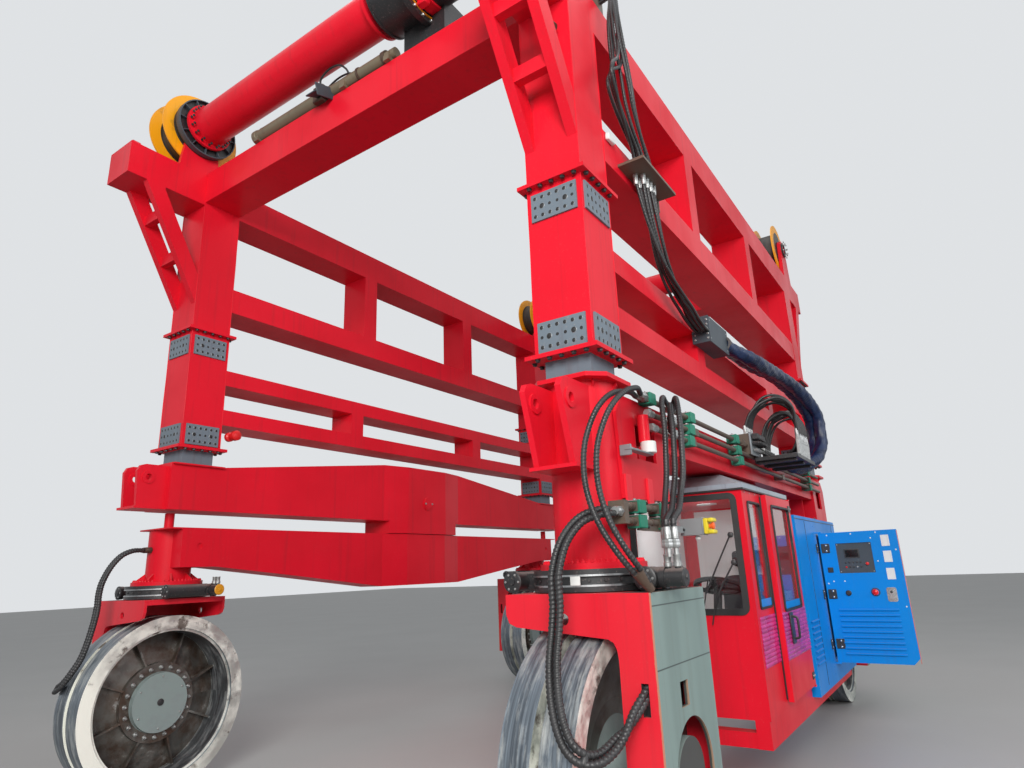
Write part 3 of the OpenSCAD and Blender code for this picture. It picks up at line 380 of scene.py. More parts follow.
# soiling by place on the surface: soft patches, run-down streaks, settled dust and a fine skin
def makeSoiling():
    group, t, out = newGroup("soiling", {"Size": 1.2, "Streak": 1.0}, "Patches Streaks Settled Speckle Height")
    spot = t.add("TexCoord").outputs
    patches = t.noise(spot["Object"], t.source.outputs["Size"], 4)
    t.join(t.ranged(patches, 0.38, 0.66), out.inputs["Patches"])
    run = t.noise(t.stretched(spot["Object"], (19, 19, 0.8)), 1.0, 4)
    t.join(t.times(t.ranged(run, 0.55, 0.78), t.source.outputs["Streak"]), out.inputs["Streaks"])
    level = t.ranged(t.parts(spot["Normal"])[2], 0.55, 0.95)
    t.join(t.times(level, t.ranged(patches, 0.3, 0.62, 0.35, 1)), out.inputs["Settled"])
    fine = t.noise(spot["Object"], 85, 3)
    t.join(t.ranged(fine, 0.6, 0.75), out.inputs["Speckle"])
    coarse = t.times(t.noise(spot["Object"], 7, 2), 0.5)
    t.join(t.maths("ADD", coarse, t.times(fine, 0.18)), out.inputs["Height"])
    return group


# small chips and scratches through the coat
def makeChips():
    group, t, out = newGroup("chips", {"Amount": 0.5}, "Chips")
    spot = t.add("TexCoord").outputs
    rough = t.noise(spot["Object"], 38, 6, 0.72)
    zones = t.noise(spot["Object"], 2.1, 2)
    level = t.maths("ADD", t.times(rough, 0.6), t.times(zones, 0.4))
    limit = t.maths("SUBTRACT", 0.72, t.times(t.source.outputs["Amount"], 0.14))
    t.join(t.ranged(t.maths("SUBTRACT", level, limit), 0.0, 0.025), out.inputs["Chips"])
    return group


# bands and smears that a turned and rolled surface keeps, round an axle along Y
def makeTurned():
    group, t, out = newGroup("turned", {"Axle": (0, 0, 0)}, "Radius Rings Smears Blots Height")
    spot = t.add("TexCoord").outputs
    arm = t.add("VectorMath", operation="SUBTRACT")
    t.join(spot["Object"], arm.inputs[0])
    t.join(t.source.outputs["Axle"], arm.inputs[1])
    x, y, z = t.parts(arm.outputs[0])
    radius = t.maths("SQRT", t.maths("ADD", t.maths("POWER", x, 2.0), t.maths("POWER", z, 2.0)))
    t.join(radius, out.inputs["Radius"])

    def unrolled(perRadius, perWidth, perTurn):
        flat = t.add("CombineXYZ")
        t.join(t.times(radius, perRadius), flat.inputs[0])
        t.join(t.times(y, perWidth), flat.inputs[1])
        t.join(t.times(t.maths("ARCTAN2", z, x), perTurn), flat.inputs[2])
        return flat.outputs[0]
    rings = t.noise(unrolled(60, 60, 0.9), 1.4, 3)
    t.join(rings, out.inputs["Rings"])
    smears = t.noise(unrolled(5, 16, 2.2), 1.0, 6, 0.68)
    t.join(smears, out.inputs["Smears"])
    blots = t.noise(arm.outputs[0], 5.5, 5, 0.65)
    t.join(blots, out.inputs["Blots"])
    t.join(t.maths("ADD", t.times(rings, 0.5), t.times(blots, 0.7)), out.inputs["Height"])
    return group


soiling, chips, turned = makeSoiling(), makeChips(), makeTurned()


def newFinish(name):
    finish = bpy.data.materials.new(name)
    finish.use_nodes = True
    return finish, Tree(finish.node_tree), finish.node_tree.nodes["Principled BSDF"]


def darker(colour, share):
    return tuple(c * share for c in colour)


def addBump(t, shader, height, strength, distance):
    bump = t.add("Bump")
    bump.inputs["Strength"].default_value = strength
    bump.inputs["Distance"].default_value = distance
    t.join(height, bump.inputs["Height"])
    t.join(bump.outputs[0], shader.inputs["Normal"])


# sprayed paint: base, its patchy second tone, dust that settles, runs of dirt and chips to the primer
plainLook = {"streak": 0.5, "chips": 0.3, "run": (0.09, 0.03, 0.03), "dusty": 0.35, "speckle": 0.12,
             "dust": (0.42, 0.33, 0.3), "under": (0.2, 0.12, 0.1), "rough": 0.34, "metal": 0.0, "coat": 0.0,
             "gloss": 0.5, "bump": 0.35}


def paintNodes(t, look):
    look = {**plainLook, **look}
    soil = t.place(soiling, Size=1.2, Streak=look["streak"])
    chip = t.place(chips, Amount=look["chips"])
    colour = t.mix(t.times(soil["Patches"], 0.6), look["base"], look["second"])
    colour = t.mix(t.times(soil["Streaks"], 0.55), colour, look["run"])
    for layer, share in (("Settled", look["dusty"]), ("Speckle", look["speckle"])):
        colour = t.mix(t.times(soil[layer], share), colour, look["dust"])
    colour = t.mix(t.times(chip["Chips"], 0.8), colour, look["under"])
    rough = t.maths("ADD", look["rough"], t.times(soil["Patches"], 0.14))
    rough = t.maths("ADD", rough, t.times(soil["Settled"], 0.3), clamp=True)
    return colour, rough, soil["Height"]


def paint(name, **look):
    look = {**plainLook, **look}
    finish, t, shader = newFinish(name)
    colour, rough, height = paintNodes(t, look)
    t.join(colour, shader.inputs["Base Color"])
    t.join(rough, shader.inputs["Roughness"])
    for socket, value in (("Metallic", look["metal"]), ("Coat Weight", look["coat"]),
                          ("Specular IOR Level", look["gloss"]), ("Coat Roughness", 0.12)):
        shader.inputs[socket].default_value = value
    addBump(t, shader, height, look["bump"], 0.002)
    return finish


redLook = {"base": (0.74, 0.010, 0.027), "second": (0.60, 0.007, 0.019), "under": (0.26, 0.05, 0.04), "rough": 0.32,
           "coat": 0.05, "gloss": 0.14, "streak": 0.35, "dusty": 0.22, "chips": 0.12, "speckle": 0.06}
finishes = {
    "red": paint("redPaint", **redLook),
    "grey": paint("greyPaint", base=(0.155, 0.195, 0.235), second=(0.115, 0.145, 0.175), under=(0.3, 0.28, 0.26),
                  rough=0.42, chips=0.4, speckle=0.2, gloss=0.35),
    "steelGrey": paint("steelGreyPaint", base=(0.26, 0.29, 0.31), second=(0.2, 0.22, 0.235), under=(0.33, 0.3, 0.27),
                       rough=0.38, chips=0.35, metal=0.35),
    "black": paint("blackPaint", base=(0.017, 0.018, 0.02), second=(0.03, 0.03, 0.032), under=(0.12, 0.1, 0.09),
                   rough=0.36, dusty=0.5, chips=0.35, speckle=0.25),
    "yellow": paint("yellowPaint", base=(0.66, 0.285, 0.006), second=(0.5, 0.2, 0.006), under=(0.2, 0.15, 0.1),
                    rough=0.4, chips=0.5, streak=0.9),
    "blue": paint("bluePaint", base=(0.001, 0.235, 0.70), second=(0.001, 0.20, 0.60), under=(0.1, 0.14, 0.18),
                  rough=0.33, coat=0.05, gloss=0.15, chips=0.1, dusty=0.3, streak=0.25, speckle=0.05),
    "olive": paint("olivePaint", base=(0.20, 0.165, 0.11), second=(0.13, 0.11, 0.08), under=(0.25, 0.23, 0.2),
                   rough=0.45, chips=0.5, metal=0.3),
    "silver": paint("silverSheet", base=(0.38, 0.44, 0.50), second=(0.23, 0.275, 0.33), under=(0.22, 0.22, 0.22),
                    rough=0.36, metal=0.3, dusty=0.25, chips=0.1, streak=0.9),
    "green": paint("greenClamp", base=(0.008, 0.21, 0.13), second=(0.008, 0.15, 0.10), under=(0.1, 0.16, 0.12),
                   rough=0.45, chips=0.2, dusty=0.4),
    "engine": paint("engineCasting", base=(0.06, 0.065, 0.07), second=(0.035, 0.035, 0.037), under=(0.2, 0.13, 0.08),
                    rough=0.5, chips=0.7, metal=0.4, bump=0.8),
    "console": paint("consolePlastic", base=(0.03, 0.03, 0.033), second=(0.04, 0.04, 0.043),
                     under=(0.08, 0.08, 0.08), rough=0.5, chips=0.0, streak=0.0, bump=0.5),
    "white": paint("whitePlate", base=(0.72, 0.73, 0.72), second=(0.62, 0.63, 0.62), under=(0.4, 0.4, 0.4),
                   rough=0.4, chips=0.1, dusty=0.3, streak=0.3),
}


def plainMetal(name, colour, rough, grain, metal=1.0):
    finish, t, shader = newFinish(name)
    soil = t.place(soiling, Size=3.0, Streak=0.6)
    spot = t.add("TexCoord").outputs
    lines = t.noise(t.stretched(spot["Object"], grain), 1.0, 4)
    t.join(t.mix(t.ranged(lines, 0.35, 0.7, 0.0, 0.7), colour, darker(colour, 0.6)), shader.inputs["Base Color"])
    t.join(t.maths("ADD", rough, t.times(soil["Patches"], 0.15)), shader.inputs["Roughness"])
    shader.inputs["Metallic"].default_value = metal
    addBump(t, shader, lines, 0.25, 0.001)
    return finish


finishes["chrome"] = plainMetal("chromedRod", (0.72, 0.73, 0.74), 0.14, (40, 40, 40))
finishes["machined"] = plainMetal("machinedSteel", (0.5, 0.51, 0.52), 0.28, (300, 300, 12))
finishes["zinc"] = plainMetal("zincFitting", (0.45, 0.46, 0.455), 0.36, (60, 60, 60), 0.85)


# wheels of bare steel: bright rolled rim with chalky smears, dull blotched dish, grey hub cover; on the front right
# wheel a painted highlight whitens the lower front of the rim's side in patches
wheelLook = {"bright": (0.64, 0.67, 0.62), "chalk": (0.90, 0.91, 0.84), "dull": (0.15, 0.143, 0.13),
             "rust": (0.095, 0.066, 0.05), "treadLight": (0.22, 0.26, 0.30), "treadDark": (0.075, 0.088, 0.105),
             "hub": (0.24, 0.30, 0.295), "rimHighlight": (0.93, 0.94, 0.86), "dishSmear": (0.42, 0.43, 0.42),
             "hubBlot": (0.22, 0.25, 0.26), "rimFrom": 0.572, "hubTo": 0.238, "highlightFrom": 0.05, "highlightTo": 0.45}


def wheelSteel(name, axle, look, highlightShare):
    finish, t, shader = newFinish(name)
    marks = t.place(turned, Axle=axle)
    rim = t.ranged(marks["Radius"], look["rimFrom"] - 0.004, look["rimFrom"] + 0.004)
    hub = t.ranged(marks["Radius"], look["hubTo"] - 0.002, look["hubTo"] + 0.002, 1.0, 0.0)
    spot = t.add("TexCoord").outputs
    flat = t.ranged(t.maths("ABSOLUTE", t.parts(spot["Normal"])[1]), 0.4, 0.7)
    chalk = t.ranged(marks["Smears"], 0.44, 0.58)
    bands = t.ranged(marks["Rings"], 0.35, 0.65)
    tread = t.mix(t.times(bands, 0.85), look["treadLight"], look["treadDark"])
    tread = t.mix(t.times(t.ranged(marks["Smears"], 0.5, 0.72), 0.4), tread, look["chalk"])
    side = t.mix(chalk, look["bright"], look["chalk"])
    side = t.mix(t.ranged(marks["Blots"], 0.56, 0.64, 0.0, 0.85), side, look["rust"])
    x, y, z = t.parts(spot["Object"])
    slant = axle[0] - axle[2]
    # painted highlight: a whitish patchy wash on the rim's side, strongest towards the lower front, on the front
    # right wheel only
    rimHighlight = t.ranged(t.maths("SUBTRACT", x, z), slant + look["highlightFrom"], slant + look["highlightTo"], 0.0, highlightShare)
    rimHighlight = t.times(rimHighlight, t.ranged(marks["Blots"], 0.62, 0.68, 1.0, 0.3))
    rimHighlight = t.times(rimHighlight, t.times(flat, rim))
    side = t.mix(rimHighlight, side, look["rimHighlight"])
    rimColour = t.mix(flat, tread, side)
    dish = t.mix(t.ranged(marks["Blots"], 0.42, 0.62), look["dull"], look["rust"])
    dish = t.mix(t.ranged(marks["Smears"], 0.6, 0.72, 0.0, 0.8), dish, look["dishSmear"])
    colour = t.mix(rim, dish, rimColour)
    hubColour = t.mix(t.ranged(marks["Blots"], 0.5, 0.68, 0.0, 0.5), look["hub"], look["hubBlot"])
    t.join(t.mix(hub, colour, hubColour), shader.inputs["Base Color"])
    t.join(t.ranged(marks["Smears"], 0.35, 0.7, 0.3, 0.58), shader.inputs["Roughness"])
    bare = t.maths("SUBTRACT", 1.0, hub)
    bright = t.ranged(marks["Smears"], 0.45, 0.6, 0.75, 0.25)
    t.join(t.times(bare, t.times(bright, t.maths("SUBTRACT", 1.0, rimHighlight))), shader.inputs["Metallic"])
    addBump(t, shader, marks["Height"], 0.5, 0.0035)
    return finish


# fork: red, with the outboard wall left in primer, a worn tan line where the two meet, and near-black painted shade
# on its insides
forkLook = {"primer": (0.21, 0.285, 0.27), "primerDark": (0.125, 0.17, 0.16), "run": (0.14, 0.15, 0.13),
            "seam": (0.035, 0.045, 0.045), "inside": (0.055, 0.056, 0.055), "within": (0.05, 0.052, 0.05),
            "worn": (0.38, 0.26, 0.17), "bore": (0.2, 0.25, 0.235), "seams": (1.206, 1.483), "headFrom": 1.40,
            "wall": 0.17, "halfWide": 0.3375, "boreRadius": 0.22}


def forkCoat(name, axle, wallY, out):
    finish, t, shader = newFinish(name)
    look, wallOut = forkLook, wallY * out
    red, redRough, height = paintNodes(t, redLook)
    soil = t.place(soiling, Size=2.4, Streak=1.0)
    spot = t.add("TexCoord").outputs
    x, y, z = t.parts(spot["Object"])
    faceY = t.parts(spot["Normal"])[1]
    outward = t.ranged(t.times(faceY, out), 0.4, 0.6)
    beyond = t.ranged(t.times(y, out), wallOut - 0.008, wallOut - 0.006)
    wall = t.times(outward, beyond)
    bands = t.noise(t.stretched(spot["Object"], (3.5, 1, 0.3)), 1.0, 2)
    primer = t.mix(t.ranged(bands, 0.42, 0.68, 0.0, 0.75), look["primer"], look["primerDark"])
    primer = t.mix(t.times(soil["Streaks"], 0.5), primer, look["run"])
    seam = t.maths("ADD", *(t.ranged(t.awayFrom(z, level), 0.0022, 0.004, 1, 0) for level in look["seams"]),
                   clamp=True)
    primer = t.mix(t.times(seam, 0.85), primer, look["seam"])
    edge = t.maths("ADD", t.times(y, out), t.times(t.noise(spot["Object"], 30), 0.008))
    edge = t.ranged(edge, wallOut - 0.0075, wallOut - 0.003)
    # painted shade: near-black on outward faces that lie inboard of the outboard wall, below the head
    inside = t.times(outward, t.maths("SUBTRACT", 1.0, beyond))
    inside = t.times(inside, t.ranged(z, look["headFrom"], look["headFrom"] + 0.02, 1.0, 0.0))
    red = t.mix(inside, red, look["inside"])
    # painted shade: near-black inside the hollow of the wall, across the fork's width
    across = t.times(y, out)
    within = t.times(t.ranged(across, wallOut - look["wall"], wallOut - look["wall"] + 0.005),
                     t.ranged(across, wallOut - 0.003, wallOut - 0.001, 1.0, 0.0))
    within = t.times(within, t.ranged(t.awayFrom(x, axle[0]), look["halfWide"] - 0.0003, look["halfWide"] + 0.0003,
                                      1.0, 0.0))
    red = t.mix(within, red, look["within"])
    colour = t.mix(wall, t.mix(t.times(edge, 0.75), red, look["worn"]), primer)
    bore = t.ranged(t.place(turned, Axle=axle)["Radius"], look["boreRadius"] - 0.01, look["boreRadius"] + 0.01, 1.0,
                    0.0)
    bore = t.times(bore, t.ranged(t.maths("ABSOLUTE", faceY), 0.3, 0.6, 1.0, 0.0))
    t.join(t.mix(bore, colour, look["bore"]), shader.inputs["Base Color"])
    t.join(t.maths("ADD", redRough, t.times(wall, 0.15)), shader.inputs["Roughness"])
    addBump(t, shader, height, 0.4, 0.0025)
    return finish


def softFinish(name, colour, second, rough, weave, height):
    finish, t, shader = newFinish(name)
    spot = t.add("TexCoord").outputs
    wave = t.add("TexWave", wave_type="BANDS")
    wave.inputs["Scale"].default_value = weave
    wave.inputs["Distortion"].default_value = 1.5
    t.join(spot["Object"], wave.inputs["Vector"])
    cloud = t.noise(spot["Object"], 9, 4)
    t.join(t.mix(t.ranged(cloud, 0.35, 0.7), colour, second), shader.inputs["Base Color"])
    t.join(t.ranged(cloud, 0.3, 0.7, rough - 0.1, rough + 0.1), shader.inputs["Roughness"])
    addBump(t, shader, t.maths("ADD", wave.outputs["Fac"], t.noise(spot["Object"], 220, 2)), 0.3, height)
    return finish


finishes["hose"] = softFinish("hoseRubber", (0.012, 0.012, 0.013), (0.028, 0.028, 0.03), 0.42, 60, 0.0006)
finishes["rubber"] = softFinish("sealRubber", (0.01, 0.01, 0.011), (0.022, 0.022, 0.023), 0.55, 30, 0.0005)
finishes["seat"] = softFinish("seatCloth", (0.03, 0.031, 0.036), (0.05, 0.05, 0.056), 0.85, 160, 0.0012)


def glassSheet(name, tint, rough):
    finish, t, shader = newFinish(name)
    soil = t.place(soiling, Size=2.0, Streak=0.8)
    t.join(t.mix(t.times(soil["Patches"], 0.35), tint, darker(tint, 0.85)), shader.inputs["Base Color"])
    t.join(t.maths("ADD", rough, t.times(soil["Patches"], 0.06)), shader.inputs["Roughness"])
    shader.inputs["Transmission Weight"].default_value = 1.0
    shader.inputs["IOR"].default_value = 1.45
    return finish


finishes["glass"] = glassSheet("windowGlass", (0.86, 0.88, 0.88), 0.01)


# pink protective film over the cab's lower side, pressed into flutes
def filmSheet():
    finish, t, shader = newFinish("pinkFilm")
    spot = t.add("TexCoord").outputs
    soil = t.place(soiling, Size=3.0, Streak=0.3)
    wrinkle = t.noise(t.stretched(spot["Object"], (5, 5, 26)), 1.0, 4)
    t.join(t.mix(t.ranged(wrinkle, 0.4, 0.65), (0.58, 0.03, 0.235), (0.36, 0.015, 0.14)), shader.inputs["Base Color"])
    t.join(t.ranged(soil["Patches"], 0, 1, 0.18, 0.34), shader.inputs["Roughness"])
    addBump(t, shader, wrinkle, 0.5, 0.003)
    return finish


finishes["film"] = filmSheet()


def screenFinish():
    finish, t, shader = newFinish("darkScreen")
    soil = t.place(soiling, Size=8.0, Streak=0.2)
    t.join(t.mix(soil["Patches"], (0.006, 0.009, 0.01), (0.016, 0.02, 0.022)), shader.inputs["Base Color"])
    t.join(t.ranged(soil["Patches"], 0, 1, 0.06, 0.16), shader.inputs["Roughness"])
    return finish


finishes["screen"] = screenFinish()
finishes["redCap"] = paint("redKnob", base=(0.7, 0.01, 0.012), second=(0.55, 0.008, 0.01), rough=0.25, chips=0.0,
                           streak=0.0, dusty=0.1)
finishes["orange"] = paint("orangeKey", base=(0.75, 0.12, 0.02), second=(0.62, 0.09, 0.02), rough=0.35, chips=0.0,
                           streak=0.0)
finishes["lemon"] = paint("lemonShroud", base=(0.72, 0.60, 0.03), second=(0.6, 0.48, 0.03), rough=0.4, chips=0.1,
                          streak=0.2)
finishes["slate"] = paint("slatePlate", base=(0.05, 0.066, 0.082), second=(0.035, 0.046, 0.058),
                          under=(0.2, 0.19, 0.18), rough=0.42, chips=0.2, dusty=0.3, speckle=0.1, gloss=0.35)
finishes["lining"] = paint("cabLining", base=(0.82, 0.82, 0.81), second=(0.74, 0.74, 0.73), under=(0.6, 0.6, 0.6),
                           rough=0.7, chips=0.0, streak=0.2, gloss=0.2)
finishes["navy"] = softFinish("navySheet", (0.003, 0.010, 0.04), (0.007, 0.024, 0.085), 0.36, 9, 0.006)
finishes["salmon"] = paint("wornEdge", base=(0.62, 0.2, 0.16), second=(0.5, 0.2, 0.17), rough=0.5, chips=0.4)
finishes["brown"] = paint("brownPipe", base=(0.11, 0.075, 0.055), second=(0.07, 0.05, 0.04), under=(0.3, 0.26, 0.22),
                          rough=0.42, metal=0.5, chips=0.4)


# bronze pipes, with the brackets below them in red and the stop button's arm in grey
def pipePaint(look):
    finish, t, shader = newFinish("bronzePipe")
    colour, rough, height = paintNodes(t, look)
    spot = t.add("TexCoord").outputs
    x, y, z = t.parts(spot["Object"])
    bracket = t.times(t.ranged(z, 2.004, 2.008), t.ranged(z, 2.36, 2.364, 1.0, 0.0))
    arm = t.times(t.ranged(z, 1.94, 1.942, 1.0, 0.0), t.ranged(x, 2.60, 2.61, 1.0, 0.0))
    colour = t.mix(bracket, colour, redLook["base"])
    t.join(t.mix(arm, colour, (0.26, 0.28, 0.29)), shader.inputs["Base Color"])
    t.join(rough, shader.inputs["Roughness"])
    addBump(t, shader, height, 0.35, 0.002)
    return finish


finishes["pipes"] = pipePaint({"base": (0.11, 0.08, 0.058), "second": (0.07, 0.052, 0.04),
                               "under": (0.3, 0.26, 0.22), "rough": 0.4, "chips": 0.4})
wheelRadius, forkWallLeft, forkWallRight = 0.7, 2.55, -2.7
wheelCentres = {}
for end, x in (("f", axleX), ("r", -axleX)):
    for hand, y, wallY, out in (("l", trackLeft, forkWallLeft, 1), ("r", trackRight, forkWallRight, -1)):
        corner, centre = end + hand, tuple(round(c, 4) for c in at(x, y, wheelRadius))
        wheelCentres[corner] = centre
        finishes["wheel_" + corner] = wheelSteel("wheelSteel_" + corner, centre, wheelLook,
                                                 1.0 if corner == "fr" else 0.0)
        finishes["fork_" + corner] = forkCoat("forkCoat_" + corner, centre, wallY + midTrack, out)

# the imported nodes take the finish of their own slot, or of their node
slotFinish = {"red_paint": "red", "grey_paint": "grey", "black_paint": "black", "yellow_paint": "yellow",
              "blue_paint": "blue",
              "white_paint": "white", "bare_steel": "silver", "polished_steel": "chrome", "olive_paint": "olive",
              "seat_cover": "seat",
              "console_plastic": "console", "cast_engine": "engine", "hose_rubber": "hose"}
for name, shown in nodes.items():
    for i, slot in enumerate(shown.material_slots):
        kind = slot.material.name.split(".")[0] if slot.material else ""
        pick = slotFinish.get(kind, "red")
        if name.startswith(("wheel_", "fork_")):
            pick = name
        pick = {"rocker_pin": "red", "pipe_run": "pipes", "cab_roof_unit": "silver"}.get(name, pick)
        shown.material_slots[i].material = finishes[pick]
print("stage: finishes", sorted({s.material.name for o in nodes.values() for s in o.material_slots}))


# cords: the source's own points, in millimetres
def millimetres(points):
    return [at(x / 1000, y / 1000, z / 1000) for x, y, z in points]


routes = {
    "loopFl": millimetres([
        (3280.3, 2350, 1931), (3325, 2350, 1931), (3395, 2314, 1928), (3470, 2240, 1890), (3540, 2182, 1790),
        (3606, 2165, 1650), (3612, 2164, 1548), (3612, 2164, 1490), (3632, 2164, 1390), (3680, 2172, 1260),
        (3728, 2200, 1130), (3752, 2232, 1030), (3760, 2275, 950), (3735, 2325, 905), (3685, 2368, 898),
        (3620, 2396, 920), (3540, 2424, 972), (3470, 2455, 1040), (3430, 2474, 1080), (3400, 2483, 1105),
                           (3372, 2484, 1122)]),
    "loopFr": millimetres([
        (3235.3, -2230, 1960), (3310, -2230, 1960), (3390, -2236, 1952), (3470, -2245, 1910),
        (3540, -2253, 1820), (3590, -2257, 1700), (3604, -2258, 1610), (3604, -2258, 1548), (3604, -2258, 1490),
        (3618, -2250, 1390), (3645, -2252, 1240), (3675, -2270, 1110), (3720, -2300, 1005), (3752, -2345, 930),
        (3764, -2400, 895), (3735, -2455, 888), (3675, -2500, 902), (3600, -2535, 935), (3520, -2570, 985),
        (3455, -2602, 1050), (3430, -2618, 1072), (3400, -2631, 1096), (3372, -2633, 1116)]),
    "pairFl": millimetres([
        (2800.3, 2350, 2630), (2860, 2350, 2630), (2960, 2380, 2624), (3080, 2415, 2604), (3200, 2436, 2576),
        (3320, 2440, 2540), (3415, 2424, 2480), (3480, 2394, 2390), (3528, 2362, 2250), (3540, 2352, 2110),
        (3544, 2370, 1980), (3540, 2410, 1860), (3518, 2462, 1750), (3480, 2502, 1670), (3440, 2522, 1620),
        (3412, 2534, 1582)]),
    "bundleTop": millimetres([
        (2600, 2230.3, 5840), (2600, 2285, 5840), (2630, 2335, 5815), (2670, 2362, 5735), (2712, 2375, 5600),
        (2738, 2380, 5440), (2736, 2380, 5270), (2718, 2380, 5100), (2685, 2376, 4940), (2640, 2366, 4780),
        (2550, 2358, 4620), (2420, 2352, 4490), (2380, 2350, 4400), (2380, 2350, 4338.3)]),
    "bundleLow": millimetres([
        (2380, 2350, 4317.7), (2380, 2350, 4250), (2350, 2354, 4090), (2290, 2354, 3930), (2200, 2352, 3790),
        (2060, 2346, 3690), (1890, 2338, 3620), (1720, 2330, 3570), (1550, 2316, 3525), (1400, 2310, 3495),
        (1300.3, 2310, 3495)]),
}


def beside(route, step, offset, levelFrom=None):
    # runs at an offset beside a route, and past levelFrom its side turns upright
    line = smoothLine(route, step)
    last = len(line) - 1
    path = []
    for k, p in enumerate(line):
        along = (line[min(k + 1, last)] - line[max(k - 1, 0)]).normalized()
        across = along.cross(Vector((1, 0, 0.5))).normalized()
        if across.y < 0:
            across = -across
        if levelFrom:
            across = across.lerp(Vector((-0.2, 0, 1)), easeIn(k / last, *levelFrom)).normalized()
        path.append(p + across * offset(k / last))
    return path


def cordPath(route, shiftFirst, shiftLast, belly, look, swing=Vector((0, 0, 0))):
    line = smoothLine(route, look["step"])
    last = len(line) - 1
    path = []
    for i, p in enumerate(line):
        t = i / last
        swung = math.exp(-((t - look["swingAt"]) / look["swingWide"]) ** 2) * easeIn(1 - t, 0.0, 0.08)
        path.append(p + shiftFirst.lerp(shiftLast, easeIn(t, 0.02,
                                                          0.98)) + belly * math.sin(math.pi * t) + swing * swung)
    return path


def spiralGuard(pitch, depth):
    turns = 2 * math.pi / pitch

    def wave(run, a):
        return depth * (math.cos(turns * run - a) * 0.5 + 0.5) ** 2 - depth * 0.35
    return wave


def hoseStrand(name, body, line, radius, guard=None, sides=10):
    piece = Piece(name, body, "hose_rubber", "hose")
    piece.tube(line, radius, sides, wave=spiralGuard(*guard) if guard else None)
    made = piece.make(smooth=60)
    return made


# steering loops: two guarded hoses side by side, which bend from the frame to the fork
loopSet = {"radius": 0.0175, "apart": 0.0195, "guard": (0.021, 0.0032), "step": 0.0042, "level": (0.8, 0.95),
           "bendFrom": 1.78, "bendTo": 1.34}
for corner, key in (("fl", "loopFl"), ("fr", "loopFr")):
    for i, s in enumerate((-1, 1)):
        path = beside(routes[key], loopSet["step"], lambda t: s * loopSet["apart"], loopSet["level"])
        hose = hoseStrand(f"loop_hose_{corner}_{i}", None, path, loopSet["radius"], loopSet["guard"], 12)
        x, y = path[0].x, wheelCentres[corner][1]
        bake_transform(hose)
        if i == 0:
            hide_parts("hose_upper_" + corner, "hose_lower_" + corner)

# thinner pair that comes over the sill and down to the corner of the fork
pairSet = {"radius": 0.0145, "apart": 0.0165, "swell": 0.021, "guard": (0.019, 0.0026), "step": 0.0042}
for i, s in enumerate((-1, 1)):
    path = beside(routes["pairFl"], pairSet["step"],
                  lambda t: s * (pairSet["apart"] + pairSet["swell"] * math.sin(math.pi * t) ** 1.5))
    hose = hoseStrand(f"pair_hose_{i}", "frame", path, pairSet["radius"], pairSet["guard"], 10)
    if i == 0:
        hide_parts("hose_pair_fl")

# hoist hoses: eight from the bridge on the top chord to the plate, and on to the box
bundleSet = {"count": 8, "radius": 0.0118, "step": 0.006, "guard": (0.024, 0.0022), "fan": 0.031, "stack": 0.0145,
             "boxPitch": 0.0135, "zigzag": (0.011, 0.022, 0.012), "swung": (3, 5, 6, 7), "swingAt": 0.70,
             "swingWide": 0.13}
zigTop, zigPlate, zigBox = bundleSet["zigzag"]
for i in range(bundleSet["count"]):
    k = i - (bundleSet["count"] - 1) / 2
    sign = (-1) ** i
    first = Vector((zigTop * sign, 0, k * bundleSet["stack"]))
    plate = Vector((k * bundleSet["fan"], zigPlate * sign, 0))
    final = Vector((0, k * bundleSet["boxPitch"], zigBox * sign))
    belly = Vector((0.05 * math.sin(2.1 * i + 0.4) - k * 0.012, 0.035 * math.sin(3.7 * i + 1), 0))
    swing = Vector((0.27 + 0.05 * (i % 3), 0.01 * i, -0.02)) if i in bundleSet["swung"] else Vector((0, 0, 0))
    upper = cordPath(routes["bundleTop"], first, plate, belly, bundleSet, swing)
    lower = cordPath(routes["bundleLow"], plate, final, belly * 0.6 + Vector((0, 0, -0.02 * (i % 3))), bundleSet)
    hose = hoseStrand(f"hoist_hose_top_{i}", "frame", upper, bundleSet["radius"], bundleSet["guard"], 8)
    hoseStrand(f"hoist_hose_low_{i}", "frame", lower, bundleSet["radius"], bundleSet["guard"], 8)
    if i == 0:
        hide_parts("hose_bundle_top")

# guarded hoses from the pipes down to the slewing motor
motorSet = {"radius": 0.0155, "guard": (0.019, 0.0026), "step": 0.0045, "starts": (2630, 2542, 2460),
            "ends": ((3205, 2567), (3205, 2617), (3238, 2592)), "spread": (-48, 44, 0), "rise": (0, 22, 60),
            "crest": (2624, 2606, 2572), "fall": (2560, 2530, 2490)}
for i, (ex, ey) in enumerate(motorSet["ends"]):
    z, w, rise, crest, fall = (motorSet[key][i] for key in ("starts", "spread", "rise", "crest", "fall"))
    path = millimetres([
        (2440, 2374, z), (2490, 2388, z + 2), (2590, 2430 + w * 0.4, z + rise), (2720, 2486 + w * 0.8, crest),
        (2840, 2530 + w, fall), (2905, 2556 + w, 2400), (2950, 2566 + w, 2260), (2990, 2572 + w, 2130),
        (3060, 2576 + w * 0.9, 2010), (3140, ey - 2 + w * 0.3, 1930), (ex - 6, ey, 1878), (ex, ey, 1830),
                        (ex, ey, 1784)])
    hoseStrand(f"motor_hose_{i}", "frame", smoothLine(path, motorSet["step"]), motorSet["radius"], motorSet["guard"],
               10)

